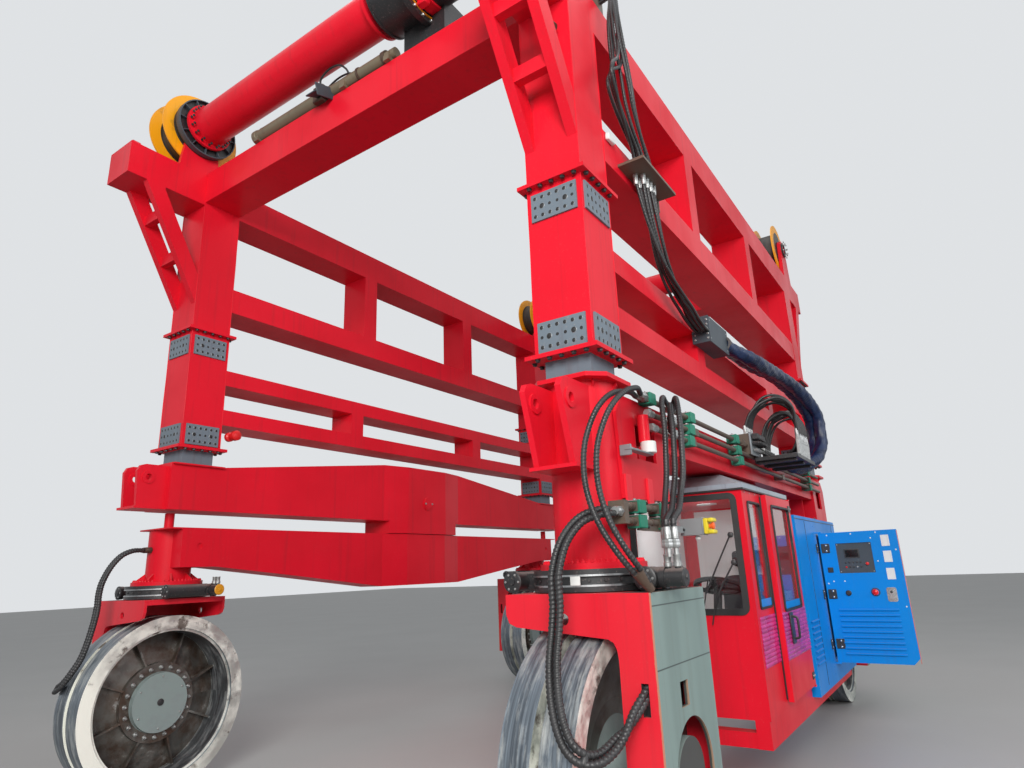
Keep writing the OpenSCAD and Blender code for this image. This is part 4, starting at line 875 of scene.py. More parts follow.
# loops over the valve block, and short ones under it that are too many to declare
valveSet = {"radius": 0.0115, "count": 7, "step": 0.012, "first": 350, "pitch": 34, "trayFirst": 205,
            "trayPitch": -50}
for i in range(valveSet["count"]):
    x = valveSet["first"] + valveSet["pitch"] * i
    path = millimetres([
        (x, 2350, 2732), (x, 2354, 2800), (x - 6, 2392 + 4 * i, 2920), (x - 40, 2470 + 8 * i, 3000 + 22 * (i % 3)),
        (x - 92, 2580 + 10 * i, 3030 + 26 * (i % 2)), (x - 150, 2680 + 8 * i, 2950 + 10 * (i % 3)),
        (x - 192, 2700 + 6 * i, 2800), (x - 220, 2694 + 4 * i, 2660), (x - 242, 2650, 2566), (x - 264, 2550, 2534),
        (x - 284 - 3 * i, 2446, 2556), (x - 290 - 5 * i, 2390, 2606), (x - 292 - 6 * i, 2370, 2642)])
    hoseStrand(f"valve_hose_{i}", "frame", smoothLine(path, valveSet["step"]), valveSet["radius"], sides=8)
    u = valveSet["trayFirst"] + valveSet["trayPitch"] * i
    path = millimetres([
        (u, 2384, 2656), (u, 2396, 2730), (u - 6, 2450, 2860 + 16 * (i % 3)), (u - 24, 2530, 2930 + 30 * (i % 2)),
        (u - 48, 2620 + 6 * i, 2940 + 18 * (i % 3)), (u - 74, 2680 + 4 * i, 2860), (u - 90, 2686 + 3 * i, 2700),
        (u - 98, 2652, 2580), (u - 106, 2560, 2546), (u - 112, 2450, 2568), (u - 116 - 4 * i, 2394, 2620),
        (u - 118 - 4 * i, 2384, 2652)])
    hoseStrand(f"tray_hose_{i}", "frame", smoothLine(path, valveSet["step"]), valveSet["radius"], sides=8)

# hoses wrapped in a dark blue sheet, in two runs from the box's back end down to the pipes
sleeveSet = {"radius": 0.06, "step": 0.03, "second": (0, 92, -34), "slack": 1.03}


def crumple(run, a):
    return 0.004 * math.sin(a * 2 + run * 5) + 0.004 * math.sin(a * 5 - run * 23) + 0.003 * math.sin(run * 61)


for i in range(2):
    dx, dy, dz = (c * i for c in sleeveSet["second"])
    path = millimetres([
        (797, 2318 + dy * 0.12, 3505 + dz * 0.3), (640, 2334 + dy * 0.4, 3488 + dz * 0.5),
                        (420, 2368 + dy, 3458 + dz),
        (100, 2398 + dy, 3452 + dz), (-320, 2420 + dy, 3474 + dz), (-760, 2466 + dy, 3446 + dz),
        (-1110, 2512 + dy, 3370 + dz), (-1390, 2550 + dy, 3210), (-1530 + 90 * i, 2556 + dy, 3000),
        (-1480 + 90 * i, 2540 + dy, 2800 + 20 * i), (-1300 + 60 * i, 2496 + dy * 0.9, 2650 + 30 * i),
        (-1090 + 40 * i, 2436 + dy * 0.6, 2590 + 30 * i), (-920 + 20 * i, 2392 + dy * 0.2, 2606 + 10 * i),
        (-806, 2374, 2648)])
    line = smoothLine(path, sleeveSet["step"])
    wrap = Piece(f"wrapped_run_{i}", "frame", "hose_rubber", "navy")
    wrap.tube(line, sleeveSet["radius"] * sleeveSet["slack"], 18, wave=crumple)
    wrap.make(smooth=60)
print("stage: cords")


# fittings on the hoses and pipes
fittings = Piece("hose_fittings", "frame", "polished_steel", "zinc brown")
valveEnds = [0.35 + 0.034 * i for i in range(7)]
trayEnds = [0.205 - 0.05 * i for i in range(7)]


def crimp(piece, place, towards, radius, mark=0, tall=1.0):
    w = Vector(towards).normalized()
    shell = [(1.05, 0), (1.32, 0.003), (1.32, 0.028 * tall), (1.18, 0.032 * tall), (1.18, 0.04 * tall)]
    piece.lathe([(radius * r, h) for r, h in shell], place, w, 14, mark)
    nut = [(1.44, -0.02), (1.5, -0.017), (1.5, -0.003), (1.44, 0)]
    piece.lathe([(radius * r, h) for r, h in nut], place, w, 6, mark)
    for h in (0.012, 0.021):
        piece.hoop([(radius * 1.34, h - 0.002), (radius * 1.39, h), (radius * 1.34, h + 0.002)], place, w, 14, mark)


for i in range(bundleSet["count"]):
    k = i - (bundleSet["count"] - 1) / 2
    spot = at(2.38 + k * bundleSet["fan"], 2.35 + zigPlate * (-1) ** i, 4.3385)
    crimp(fittings, spot + Vector((0, 0, 0.02)), up, 0.0132, tall=1.5)
    crimp(fittings, spot - Vector((0, 0, 0.041)), -up, 0.0132, tall=1.5)
    crimp(fittings, at(1.3205, 2.31 + k * bundleSet["boxPitch"], 3.495 + zigBox * (-1) ** i), ahead, 0.0085)
for s in (-1, 1):
    crimp(fittings, at(3.3005, 2.35 + s * 0.0195, 1.931 + s * 0.002), ahead, 0.0185)
    crimp(fittings, at(3.2555, -2.23 + s * 0.0195, 1.96), ahead, 0.0185, 1)
    crimp(fittings, at(2.8205, 2.35 + s * 0.0165, 2.63), ahead, 0.0148)
for i, (ex, ey) in enumerate(motorSet["ends"]):
    z = motorSet["starts"][i] / 1000
    crimp(fittings, at(2.452, 2.377, z), (1, 0.22, 0.05), 0.0158)
    fittings.block((0.05, 0.07, 0.05), at(2.41, 2.366, z), 0.006)
    crimp(fittings, at(ex / 1000, ey / 1000, 1.782), up, 0.0148, tall=1.5)
    fittings.lathe([(0.0125, 0), (0.0125, 0.08)], at(ex / 1000, ey / 1000, 1.70), up, 16)
    fittings.lathe([(0.021, 0), (0.023, 0.003), (0.023, 0.022), (0.021, 0.025)], at(ex / 1000, ey / 1000, 1.742), up,
                   6)
for i, (valveX, trayX) in enumerate(zip(valveEnds, trayEnds)):
    crimp(fittings, at(valveX, 2.35, 2.752), up, 0.0118, tall=1.4)
    for x, y in ((valveX - 0.213, 2.697 + 0.005 * i), (trayX - 0.091, 2.684 + 0.003 * i)):
        crimp(fittings, at(x, y, 2.69), (0.18, 0.0, 1), 0.0118, tall=1.8)
        fittings.lathe([(0.018, -0.15), (0.018, -0.02)], at(x, y, 2.69), (0.05, 0.05, 1), 6)
    fittings.lathe([(0.011, 0), (0.011, 0.03)], at(trayX, 2.384, 2.64), up, 10)
    fittings.lathe([(0.012, 0), (0.012, 0.03), (0.009, 0.034)], at(0.058 - 0.04 * i, 2.35, 2.646), up, 6)
# unions on the pipes' own ends
for x, z in ((2.8, 2.63), (2.76, 2.542), (2.72, 2.46)):
    union = [(0.024, -0.05), (0.027, -0.047), (0.027, -0.012), (0.021, -0.006), (0.021, 0.001)]
    fittings.lathe(union, at(x, 2.35, z), ahead, 6)
    fittings.lathe([(0.021, -0.09), (0.023, -0.087), (0.023, -0.055)], at(x, 2.35, z), ahead, 16)
# tapered sleeve that gathers the pair at the fork's corner
sleeve = smoothLine([at(3.452, 2.515, 1.636), at(3.424, 2.529, 1.598), at(3.402, 2.540, 1.570),
                     at(3.388, 2.548, 1.551)], 0.006)
sleeveRings = []
for i, p in enumerate(sleeve):
    u, v, w = axes(sleeve[min(i + 1, len(sleeve) - 1)] - sleeve[max(i - 1, 0)])
    sleeveRings.append([p + u * c.x + v * c.y for c in circle(14, 0.031 - 0.011 * i / len(sleeve))])
fittings.rings(sleeveRings, 1)
fittings.make()

# stubs of brown pipe and grooved green clamps on the pipes
clampSet = {"long": [(2.63, (2.72, 2.02, 0.96, -1.9)), (2.542, (2.05, 0.93, -1.9)), (2.46, (2.08, 0.90, -1.9))],
            "short": [(1.97, (3.02, 2.72)), (1.892, (3.02, 2.72))], "stubs": (3.1, 2.83, 2.64), "rib": 0.009,
            "pitch": 0.018}
clamps = Piece("pipe_clamps", "frame", "grey_paint", "green zinc brown")
for z, places in clampSet["long"] + clampSet["short"]:
    for x in places:
        for k in range(-2, 3):
            clamps.block((clampSet["rib"], 0.084, 0.070), at(x + clampSet["pitch"] * k, 2.3445, z), 0.0015)
        clamps.block((0.094, 0.006, 0.062), at(x, 2.383, z), 0.001)
        clamps.block((0.094, 0.066, 0.005), at(x, 2.341, z + 0.0325), 0.001, 1)
        for s in (-1, 1):
            clamps.bolt(at(x + s * 0.03, 2.352, z + 0.035), up, 0.014, 0.009, 1)
for z, _ in clampSet["short"]:
    for x in clampSet["stubs"]:
        clamps.lathe([(0.0175, 0), (0.0215, 0.004), (0.0215, 0.026), (0.0175, 0.03)], at(x, 2.35, z), ahead, 18, 2)
clamps.make()
print("stage: fittings and clamps")

# holes in the splice plates, on four sides of each leg, drawn as near-black discs that are painted shade for the
# holes' depth, most with a steel lip
legCorners = [(x, y) for x in (-axleX, axleX) for y in (-legY, legY)]
spliceSet = {"heights": (2.88, 3.738), "half": 0.202, "small": 0.0118, "large": 0.0165, "rows": (0.032, 0.156),
             "pitch": 0.0524, "mid": 0.094, "midSmall": (-0.131, -0.027, 0.027, 0.131)}
small, large = spliceSet["small"], spliceSet["large"]
holes = Piece("splice_holes", "frame", "black_paint", "rubber steelGrey")
for x, y in legCorners:
    for z in spliceSet["heights"]:
        for w in (ahead, -ahead, left, -left):
            side = Vector((-w.y, w.x, 0))
            face = at(x, y, z) + w * spliceSet["half"]
            for row in spliceSet["rows"]:
                for k in range(6):
                    c = face + side * (-0.131 + spliceSet["pitch"] * k) + up * row
                    holes.lathe([(small, 0), (small * 0.86, 0.0012)], c, w, 12, 0, capStart=False)
                    holes.hoop([(small, 0), (small + 0.0022, 0), (small + 0.0004, 0.0016)], c, w, 12, 1)
            for k in spliceSet["midSmall"]:
                c = face + side * k + up * spliceSet["mid"]
                holes.lathe([(small * 0.9, 0), (small * 0.8, 0.0012)], c, w, 12, 0, capStart=False)
            for k in (-1, 1):
                c = face + side * (0.082 * k) + up * spliceSet["mid"]
                holes.lathe([(large, 0), (large * 0.9, 0.0012)], c, w, 16, 0, capStart=False)
                holes.hoop([(large, 0), (large + 0.003, 0), (large + 0.0005, 0.002)], c, w, 16, 1)
holes.make()

# bolts of the slewing flanges, fewer on the right where the rocker's tube is, and of the legs' flanges
flangeSet = {"count": 56, "radius": 0.268, "left": (6, 7), "legFlanges": (2.84, 3.972), "pitch": 0.08, "out": 0.215}
bolts = Piece("flange_bolts", "frame", "black_paint", "black red")
for x in (-axleX, axleX):
    for y in (trackLeft, trackRight):
        for k, p in enumerate(circle(flangeSet["count"], flangeSet["radius"], "xy", 0.5)):
            if y > 0 or k % 14 not in flangeSet["left"]:
                bolts.bolt(at(x, y, 1.687) + p, up, 0.017, 0.012, 1, shank=0.006)
for x, y in legCorners:
    for z in flangeSet["legFlanges"]:
        for k in range(-2, 3):
            for s in (-1, 1):
                along, out = flangeSet["pitch"] * k, s * flangeSet["out"]
                bolts.bolt(at(x + along, y + out, z), -up, 0.026, 0.016, 0)
                bolts.bolt(at(x + out, y + along, z), -up, 0.026, 0.016, 0)
bolts.make()


def bead(piece, points, radius=0.0055, mark=0):
    line = []
    for p, q in zip(points, points[1:]):
        steps = max(2, round((q - p).length / 0.022))
        line += [p.lerp(q, k / steps) for k in range(steps)]
    line.append(points[-1])
    piece.tube(line, radius, 6, mark, wave=lambda run, a: radius * 0.22 * math.sin(run * 560))


weldSet = {"flats": ((2.866, 0.1905), (3.998, 0.1905), (3.972, 0.1905), (2.84, 0.1505)), "corner": 0.19,
           "uprights": ((4.0, 5.29), (2.87, 3.97)), "rounds": ((trackLeft, 0.206, 1.688, 0.007),
                                                               (trackLeft, 0.206, 2.676, 0.007),
                                                               (trackRight, 0.186, 1.688, 0.006))}
welds = Piece("weld_beads", "frame", "red_paint", "red")
for x, y in legCorners:
    for z, half in weldSet["flats"]:
        bead(welds, [at(x + u * half, y + v * half, z) for u, v in ((-1, -1), (1, -1), (1, 1), (-1, 1), (-1, -1))])
    for dx in (weldSet["corner"], -weldSet["corner"]):
        for dy in (weldSet["corner"], -weldSet["corner"]):
            for low, high in weldSet["uprights"]:
                bead(welds, [at(x + dx, y + dy, low), at(x + dx, y + dy, high)], 0.0035)
for x in (-axleX, axleX):
    for y, radius, z, thick in weldSet["rounds"]:
        ring = [at(x, y, z) + p for p in circle(40, radius)]
        bead(welds, ring + ring[:1], thick)
welds.make()
print("stage: steelwork")

# slewing rings: bright bands, end covers, motor ports and a blank label
slewSet = {"bands": (1.577, 1.627), "inner": 0.313, "outer": 0.3315, "half": 0.0045, "bolts": 24, "level": 1.603}
bandSection = [(slewSet["inner"], -slewSet["half"]), (slewSet["outer"], -slewSet["half"]),
               (slewSet["outer"], slewSet["half"]), (slewSet["inner"], slewSet["half"])]
endCover = [(0.056, -0.002), (0.058, 0.0), (0.058, 0.012), (0.05, 0.016), (0.02, 0.016), (0.018, 0.022), (0.0, 0.022)]
motorPort = [(0.0185, 0), (0.021, 0.003), (0.021, 0.020), (0.0175, 0.024), (0.0175, 0.05), (0.019, 0.052),
             (0.019, 0.0595)]
slew = Piece("slewing_trim", "frame", "polished_steel", "machined black white zinc yellow")
for sx in (-1, 1):
    for sy in (-1, 1):
        cx, cy = axleX * sx, trackLeft if sy > 0 else trackRight
        for z in slewSet["bands"]:
            slew.hoop(bandSection, at(cx, cy, z), up, 72)
        for p in circle(slewSet["bolts"], 0.314, "xy", 0.5):
            slew.bolt(at(cx, cy, 1.602) + p, p, 0.016, 0.008, 1, washer=False)
        for side in (-1, 1):
            for end in (-1, 1):
                c = at(cx + end * 0.215, cy + side * 0.39, slewSet["level"])
                slew.lathe(endCover, c, (end, 0, 0), 28, 1)
                for p in circle(6, 0.042, "yz"):
                    slew.bolt(c + ahead * end * 0.013 + p, (end, 0, 0), 0.012, 0.007, 3, washer=False)
        mx, my = cx + sx * sy * 0.155, cy + 0.442
        for y in (0.045, 0.095):
            slew.lathe(motorPort, at(mx, my + y, 1.652), up, 18, 3)
        slew.lathe([(0.0475, 0), (0.05, 0.003), (0.05, 0.014), (0.0475, 0.017)],
                   at(mx, my + 0.012, slewSet["level"]), left, 28, 1)
        slew.lathe([(0.046, 0), (0.04, 0.006), (0.012, 0.008), (0.01, 0.014)], at(mx, my + 0.1275, slewSet["level"]),
                   left, 28, 4 if sy < 0 else 1)
slew.block((0.004, 0.052, 0.044), at(3.385, 2.145, 1.602), 0.001, 2, Matrix.Rotation(math.radians(11), 3, "Z"))
slew.make()
print("stage: slewing rings")


# cab: window seals and panes, with the pane set back in a rubber frame round its opening
cabSet = {"seal": 0.012, "middle": 1.95, "windows": (((1.31, 1.965, 1.7305), (1, 0, 0), 0.79, 0.79, 0.046, 0.014),
                                                     ((1.03, 2.45, 1.715), (0, 1, 0), 0.33, 0.76, 0.015, 0.02),
                                                     ((0.605, 1.45, 1.73), (0, -1, 0), 1.1, 0.79, 0.03, 0.014),
                                                     ((-0.1, 1.95, 1.78), (-1, 0, 0), 0.67, 0.69, 0.03, 0.014))}


def windowSeal(piece, glass, centre, axis, w, h, wide, corner, setBack=0.012):
    out = Vector(axis)
    side = up.cross(out)

    def drawn(outline, depth):
        return [centre + side * p[0] + up * p[1] + out * depth for p in outline]
    outer = roundedOutline(w + 2 * wide, h + 2 * wide, corner + wide, 5)
    inner = roundedOutline(w, h, corner, 5)
    section = [(outer, 0.0), (outer, cabSet["seal"] * 0.7), (inner, cabSet["seal"]), (inner, -0.012)]
    piece.rings([drawn(outline, depth) for outline, depth in section], closed=True)
    pane = roundedOutline(w + 0.004, h + 0.004, corner, 5)
    glass.rings([drawn(pane, depth) for depth in (-setBack, -setBack + 0.006)])


seals = Piece("cab_seals", "frame", "black_paint", "rubber black blue")
panes = Piece("cab_glass", "frame", "console_plastic", "glass")
for centre, *window in cabSet["windows"]:
    windowSeal(seals, panes, at(*centre), *window)
seals.blocks(((1.45, 1.04, 0.014), (0.605, 1.95, 2.192), 0.003, 1),
             ((0.016, 0.010, 1.50), (0.812, 2.456, 1.41), 0.003, 0),
             ((0.33, 0.004, 0.055), (1.03, 2.449, 1.362), 0.001, 2))
seals.make()
panes.make()

# cab door: seal, pane, sun strip, lock with its bowed handle, and hinge leaves
doorSet = {"handle": ((2.503, 1.23), (2.545, 1.222), (2.552, 1.19), (2.552, 1.10), (2.545, 1.07), (2.503, 1.062)),
           "handleX": 0.545, "hinges": (0.72, 2.1)}
doorTrim = Piece("cab_door_seals", "cab_door_body", "black_paint", "rubber black blue zinc")
doorGlass = Piece("cab_door_glass", "cab_door_body", "console_plastic", "glass")
windowSeal(doorTrim, doorGlass, at(0.385, 2.499, 1.6875), left, 0.586, 0.80, 0.017, 0.02, setBack=0.022)
doorTrim.blocks(((0.586, 0.004, 0.055), (0.385, 2.492, 1.316), 0.001, 2),
                ((0.10, 0.010, 0.235), (0.56, 2.511, 1.145), 0.004, 1))
doorTrim.tube(smoothLine([at(doorSet["handleX"], y, z) for y, z in doorSet["handle"]], 0.008), 0.0095, 12, 1)
doorTrim.lathe([(0.014, 0), (0.014, 0.006), (0.009, 0.009)], at(0.585, 2.507, 1.09), left, 20, 3)
for z in doorSet["hinges"]:
    doorTrim.block((0.075, 0.006, 0.055), at(0.03, 2.5015, z), 0.002, 1)
    for x in (0.008, 0.05):
        doorTrim.bolt(at(x, 2.504, z), left, 0.014, 0.008, 3)
doorTrim.make()
doorGlass.make()

# fluted pink film over the lower side, cut at the door
filmSet = {"low": 0.925, "high": 1.272, "flutes": 12, "steps": 12,
           "runs": (("film_side", "frame", 0.822, 1.262, 2.4505),
                    ("film_door", "cab_door_body", -0.026, 0.796, 2.4995))}
for name, body, x0, x1, y in filmSet["runs"]:
    film = Piece(name, body, "red_paint", "film")
    pitch = (filmSet["high"] - filmSet["low"]) / filmSet["flutes"]
    outline = []
    for k in range(filmSet["flutes"]):
        z = filmSet["low"] + k * pitch
        outline += [(0.0008, z + 0.001), (0.005, z + pitch * 0.25), (0.0065, z + pitch * 0.55),
                    (0.004, z + pitch * 0.85)]
    outline += [(0.0008, filmSet["high"]), (0.0, filmSet["high"]), (0.0, filmSet["low"])]
    rings = []
    for k in range(filmSet["steps"] + 1):
        x = x0 + (x1 - x0) * k / filmSet["steps"]
        rings.append([at(x, y + d + (0.0012 * math.sin(31 * x + 9 * z) if d > 0 else 0), z) for d, z in outline])
    film.rings(rings)
    film.make(smooth=50)

wiperSet = {"arms": (((1.333, 2.335, 1.86), (1.334, 2.10, 1.44)), ((1.333, 2.335, 1.66), (1.334, 2.17, 1.40))),
            "blade": (0, 0.32, 0.95), "pitch": 0.036}
wipers = Piece("wipers", "frame", "black_paint", "black rubber")
for start, end in wiperSet["arms"]:
    a, b = at(*start), at(*end)
    wipers.tube([a.lerp(b, k / 8) + ahead * 0.006 * math.sin(math.pi * k / 8) for k in range(9)], 0.0065, 8)
    wipers.lathe([(0.02, -0.016), (0.022, -0.008), (0.018, 0.006), (0.01, 0.01)], a, ahead, 18)
    along = Vector(wiperSet["blade"]).lerp((b - a).normalized(), 0.2).normalized()
    wipers.tube([b - ahead * 0.006 + along * (k - 5) * wiperSet["pitch"] for k in range(9)], 0.005, 6, 1)
wipers.make()

# roof's seams and the small bolts round its edge
trim = Piece("cab_trim", "frame", "bare_steel", "silver zinc")
for x in (0.05, 0.42, 0.79, 1.16):
    trim.block((0.012, 0.86, 0.010), at(x, cabSet["middle"], 2.24), 0.003)
for x in (-0.07, 1.28):
    for y in (1.49, 2.41):
        trim.bolt(at(x, y, 2.236), up, 0.022, 0.012, 1)
for k in range(10):
    for y, s in ((1.4483, -1), (2.4507, 1)):
        trim.bolt(at(-0.06 + 0.145 * k, y, 2.17), left * s, 0.010, 0.005, 1, washer=False)
trim.make()

# steering wheel: rim grip, spinner knob and hub cap over the CAD wheel
steerSet = {"tilt": -20, "foot": (1.12, 2.1, 1.22), "column": 0.27, "rim": (0.172, 0.014),
            "knob": (-0.04, -0.166, 0.03)}
wheelTurn = Matrix.Rotation(math.radians(steerSet["tilt"]), 3, "Y")
axisUp = wheelTurn @ up
hubPoint = at(*steerSet["foot"]) + axisUp * steerSet["column"]
rimR, rimH = steerSet["rim"]
grip = Piece("steering_grip", "frame", "console_plastic", "rubber console")
grip.hoop([(rimR + c.x, rimH + c.y * 0.0165 / 0.0155) for c in circle(10, 0.0155)], hubPoint, axisUp, 48)
knobProfile = [(0.006, 0), (0.006, 0.02), (0.02, 0.026), (0.026, 0.042), (0.021, 0.056), (0.0, 0.062)]
grip.lathe(knobProfile, hubPoint + wheelTurn @ Vector(steerSet["knob"]), axisUp, 18, 1)
grip.lathe([(0.05, 0.028), (0.046, 0.038), (0.0, 0.044)], hubPoint, axisUp, 24, 1)
grip.make()
panel = Piece("dash_panel", "frame", "console_plastic", "console screen redCap yellow zinc")
panel.blocks(((0.12, 0.30, 0.010), (1.19, 1.80, 1.2855), 0.003, 0),
             ((0.09, 0.18, 0.006), (1.19, 1.80, 1.2925), 0.002, 1))
for k in range(6):
    button = [(0.011, 0), (0.011, 0.006), (0.008, 0.012), (0.0, 0.013)]
    panel.lathe(button, at(1.165, 1.98 + 0.035 * k, 1.2805), up, 16, (2, 3, 4)[k % 3])
panel.make()


# padded seat: crowned cushions drawn in at their seams
def pad(name, size, centre, turn, crown, seams):
    grid = bmesh.new()
    bmesh.ops.create_cube(grid, size=2.0)
    bmesh.ops.subdivide_edges(grid, edges=grid.edges[:], cuts=11, use_grid_fill=True)
    for v in grid.verts:
        x, y, z = v.co
        r = (abs(x) ** 6 + abs(y) ** 6 + abs(z) ** 6) ** (1 / 6)
        s = Vector((x, y, z)) / max(r, 1e-6)
        s.z *= 0.82 + crown * (1 - x * x) * (1 - y * y)
        s.x *= 1 - 0.035 * (1 - abs(y)) * (1 - z * z)
        for seam in seams if z > 0 else ():
            s.z -= 0.10 * math.exp(-((y - seam) / 0.045) ** 2) * (1 - abs(x) ** 8)
        v.co = turn @ Vector((s.x * size[0] / 2, s.y * size[1] / 2, s.z * size[2] / 2)) + centre
    mesh = bpy.data.meshes.new(name)
    grid.to_mesh(mesh)
    grid.free()
    mesh.materials.append(finishes["seat"])
    mesh.shade_smooth()
    made = bpy.data.objects.new(name, mesh)
    scene.collection.objects.link(made)
    smooth = made.modifiers.new("soften", "SUBSURF")
    smooth.levels = smooth.render_levels = 1
    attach(made, "frame")
    return made


seatSet = {"y": 2.09, "lean": -8, "seams": (-0.62, 0.62), "gaiter": 0.034}
seatY = seatSet["y"]
lean = Matrix.Rotation(math.radians(seatSet["lean"]), 3, "Y")
cushion = pad("seat_cushion", (0.49, 0.49, 0.14), at(0.35, seatY, 1.0), Matrix.Identity(3), 0.26,
              seatSet["seams"])
pad("seat_back", (0.10, 0.46, 0.56), at(0.125, seatY, 1.32), lean, 0.0, ())
pad("seat_headrest", (0.085, 0.27, 0.17), at(0.052, seatY, 1.69), lean, 0.0, ())
seatBase = Piece("seat_base", "frame", "console_plastic", "console black")
seatBase.block((0.36, 0.36, 0.05), at(0.33, seatY, 0.666), 0.008, 1)
for k in range(6):
    wide = 0.30 - 0.012 * (k % 2)
    seatBase.block((wide, wide, seatSet["gaiter"]), at(0.33, seatY, 0.71 + seatSet["gaiter"] * k), 0.008, 0)
for s in (-1, 1):
    seatBase.blocks(((0.40, 0.03, 0.03), (0.33, seatY + 0.17 * s, 0.92), 0.006, 1),
                    ((0.28, 0.05, 0.03), (0.30, seatY + 0.265 * s, 1.20), 0.012, 0),
                    ((0.035, 0.03, 0.24), (0.18, seatY + 0.262 * s, 1.085), 0.006, 1))
seatBase.make()
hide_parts("cab_seat")
print("stage: cab")

# power unit's door: louvres, instrument panel, labels, switches, screws, gaskets and hinges
powerSet = {"doorX": -1.05, "doorY": 2.521, "hinges": (1.76, 1.32, 0.86), "louvrePitch": 0.05, "side": 2.5,
            "inner": 1.4, "rear": -2.21, "labels": (1.81, 1.66, 1.50), "gasketX": -1.094, "plate": (2.826, 1.6585),
            "screws": ((2.60, 1.885), (2.82, 1.888), (3.04, 1.89), (2.60, 1.44), (2.70, 1.44), (3.02, 1.62),
                       (2.99, 1.84), (2.55, 1.42), (3.19, 1.2), (3.19, 1.72))}
doorX, doorY, side = powerSet["doorX"], powerSet["doorY"], powerSet["side"]
louvre = [(0.0, 0.0), (0.013, -0.003), (0.017, -0.010), (0.013, -0.017), (0.011, -0.017), (0.0145, -0.010),
          (0.0, -0.001)]
keyCap = [(0.0085, 0), (0.0085, 0.004), (0.006, 0.007)]
screwHead = [(0.0095, 0), (0.0095, 0.004), (0.005, 0.008)]
stopKnob = [(0.018, 0), (0.018, 0.012), (0.027, 0.018), (0.028, 0.028), (0.018, 0.036), (0.0, 0.038)]


def run(low, high):
    # stations of a louvre, with its ends drawn close together
    return low, low + 0.004, high - 0.004, high


door = Piece("power_door_trim", "power_door_body", "blue_paint",
             "blue slate screen redCap black white chrome salmon rubber zinc")
for k in range(9):
    z = 0.78 + powerSet["louvrePitch"] * k
    door.rings([[at(doorX + d, doorY + y, z + h) for d, h in louvre] for y in run(0.086, 0.602)])
door.blocks(((0.006, 0.322, 0.291), (doorX - 0.013, doorY + 0.305, 1.6585), 0.002, 1),
            ((0.008, 0.115, 0.066), (doorX - 0.007, 2.80, 1.70), 0.002, 2),
            ((0.006, 0.135, 0.086), (doorX - 0.009, 2.80, 1.70), 0.002, 4))
for k in range(5):
    door.lathe(keyCap, at(doorX - 0.010, 2.735 + 0.033 * k, 1.615), ahead, 14, 4)
    door.lathe(keyCap, at(doorX - 0.010, 2.735 + 0.033 * k, 1.572), ahead, 14, (3, 4, 4, 9, 4)[k])
door.lathe([(0.016, 0), (0.016, 0.006), (0.012, 0.02), (0.0, 0.022)], at(doorX - 0.010, 2.925, 1.60), ahead, 20, 3)
plateY, plateZ = powerSet["plate"]
for s in (-1, 1):
    for t in (-1, 1):
        door.bolt(at(doorX - 0.010, plateY + 0.146 * s, plateZ + 0.13 * t), ahead, 0.010, 0.005, 9, washer=False)
for z in powerSet["labels"]:
    door.block((0.003, 0.07, 0.105), at(doorX + 0.0012, 3.112, z), 0.0006, 5)
for z in (1.773, 1.549):
    door.block((0.01, 0.05, 0.05), at(doorX + 0.003, 2.588, z), 0.003, 4)
door.lathe([(0.026, 0), (0.026, 0.006), (0.02, 0.01), (0.02, 0.026), (0.016, 0.03)], at(doorX, 2.716, 1.328), ahead,
           24, 4)
door.lathe(stopKnob, at(doorX, 2.953, 1.334), ahead, 28, 3)
door.hoop([(0.032, 0), (0.04, 0), (0.037, 0.005), (0.032, 0.005)], at(doorX, 2.953, 1.334), ahead, 28, 1)
door.slab(roundedOutline(0.085, 0.13, 0.018), at(doorX, 3.09, 1.31), ahead, 0.004, 6)
door.slab(roundedOutline(0.05, 0.085, 0.012), at(doorX + 0.004, 3.09, 1.315), ahead, 0.012, 6)
door.lathe([(0.012, 0), (0.012, 0.006), (0.008, 0.008)], at(doorX + 0.016, 3.09, 1.335), ahead, 18, 4)
for y, z in powerSet["screws"]:
    door.lathe([(0.0075, 0), (0.006, 0.003), (0.0, 0.004)], at(doorX, y, z), ahead, 10, 5)
door.block((0.042, 0.004, 1.2), at(-1.07, 3.2225, 1.30), 0.001, 7)
for wide, high, y, z in ((0.012, 1.14, 3.195, 1.30), (0.012, 1.14, 2.58, 1.30), (0.60, 0.012, 2.89, 1.870),
                         (0.53, 0.012, 2.85, 0.735)):
    door.block((0.008, wide, high), at(powerSet["gasketX"], y, z), 0.002, 8)
for z in powerSet["hinges"]:
    door.block((0.012, 0.075, 0.09), at(doorX + 0.004, 2.572, z), 0.003, 4)
    for s in (-1, 1):
        door.lathe(screwHead, at(doorX + 0.010, 2.578, z + 0.027 * s), ahead, 14, 6)
door.make()

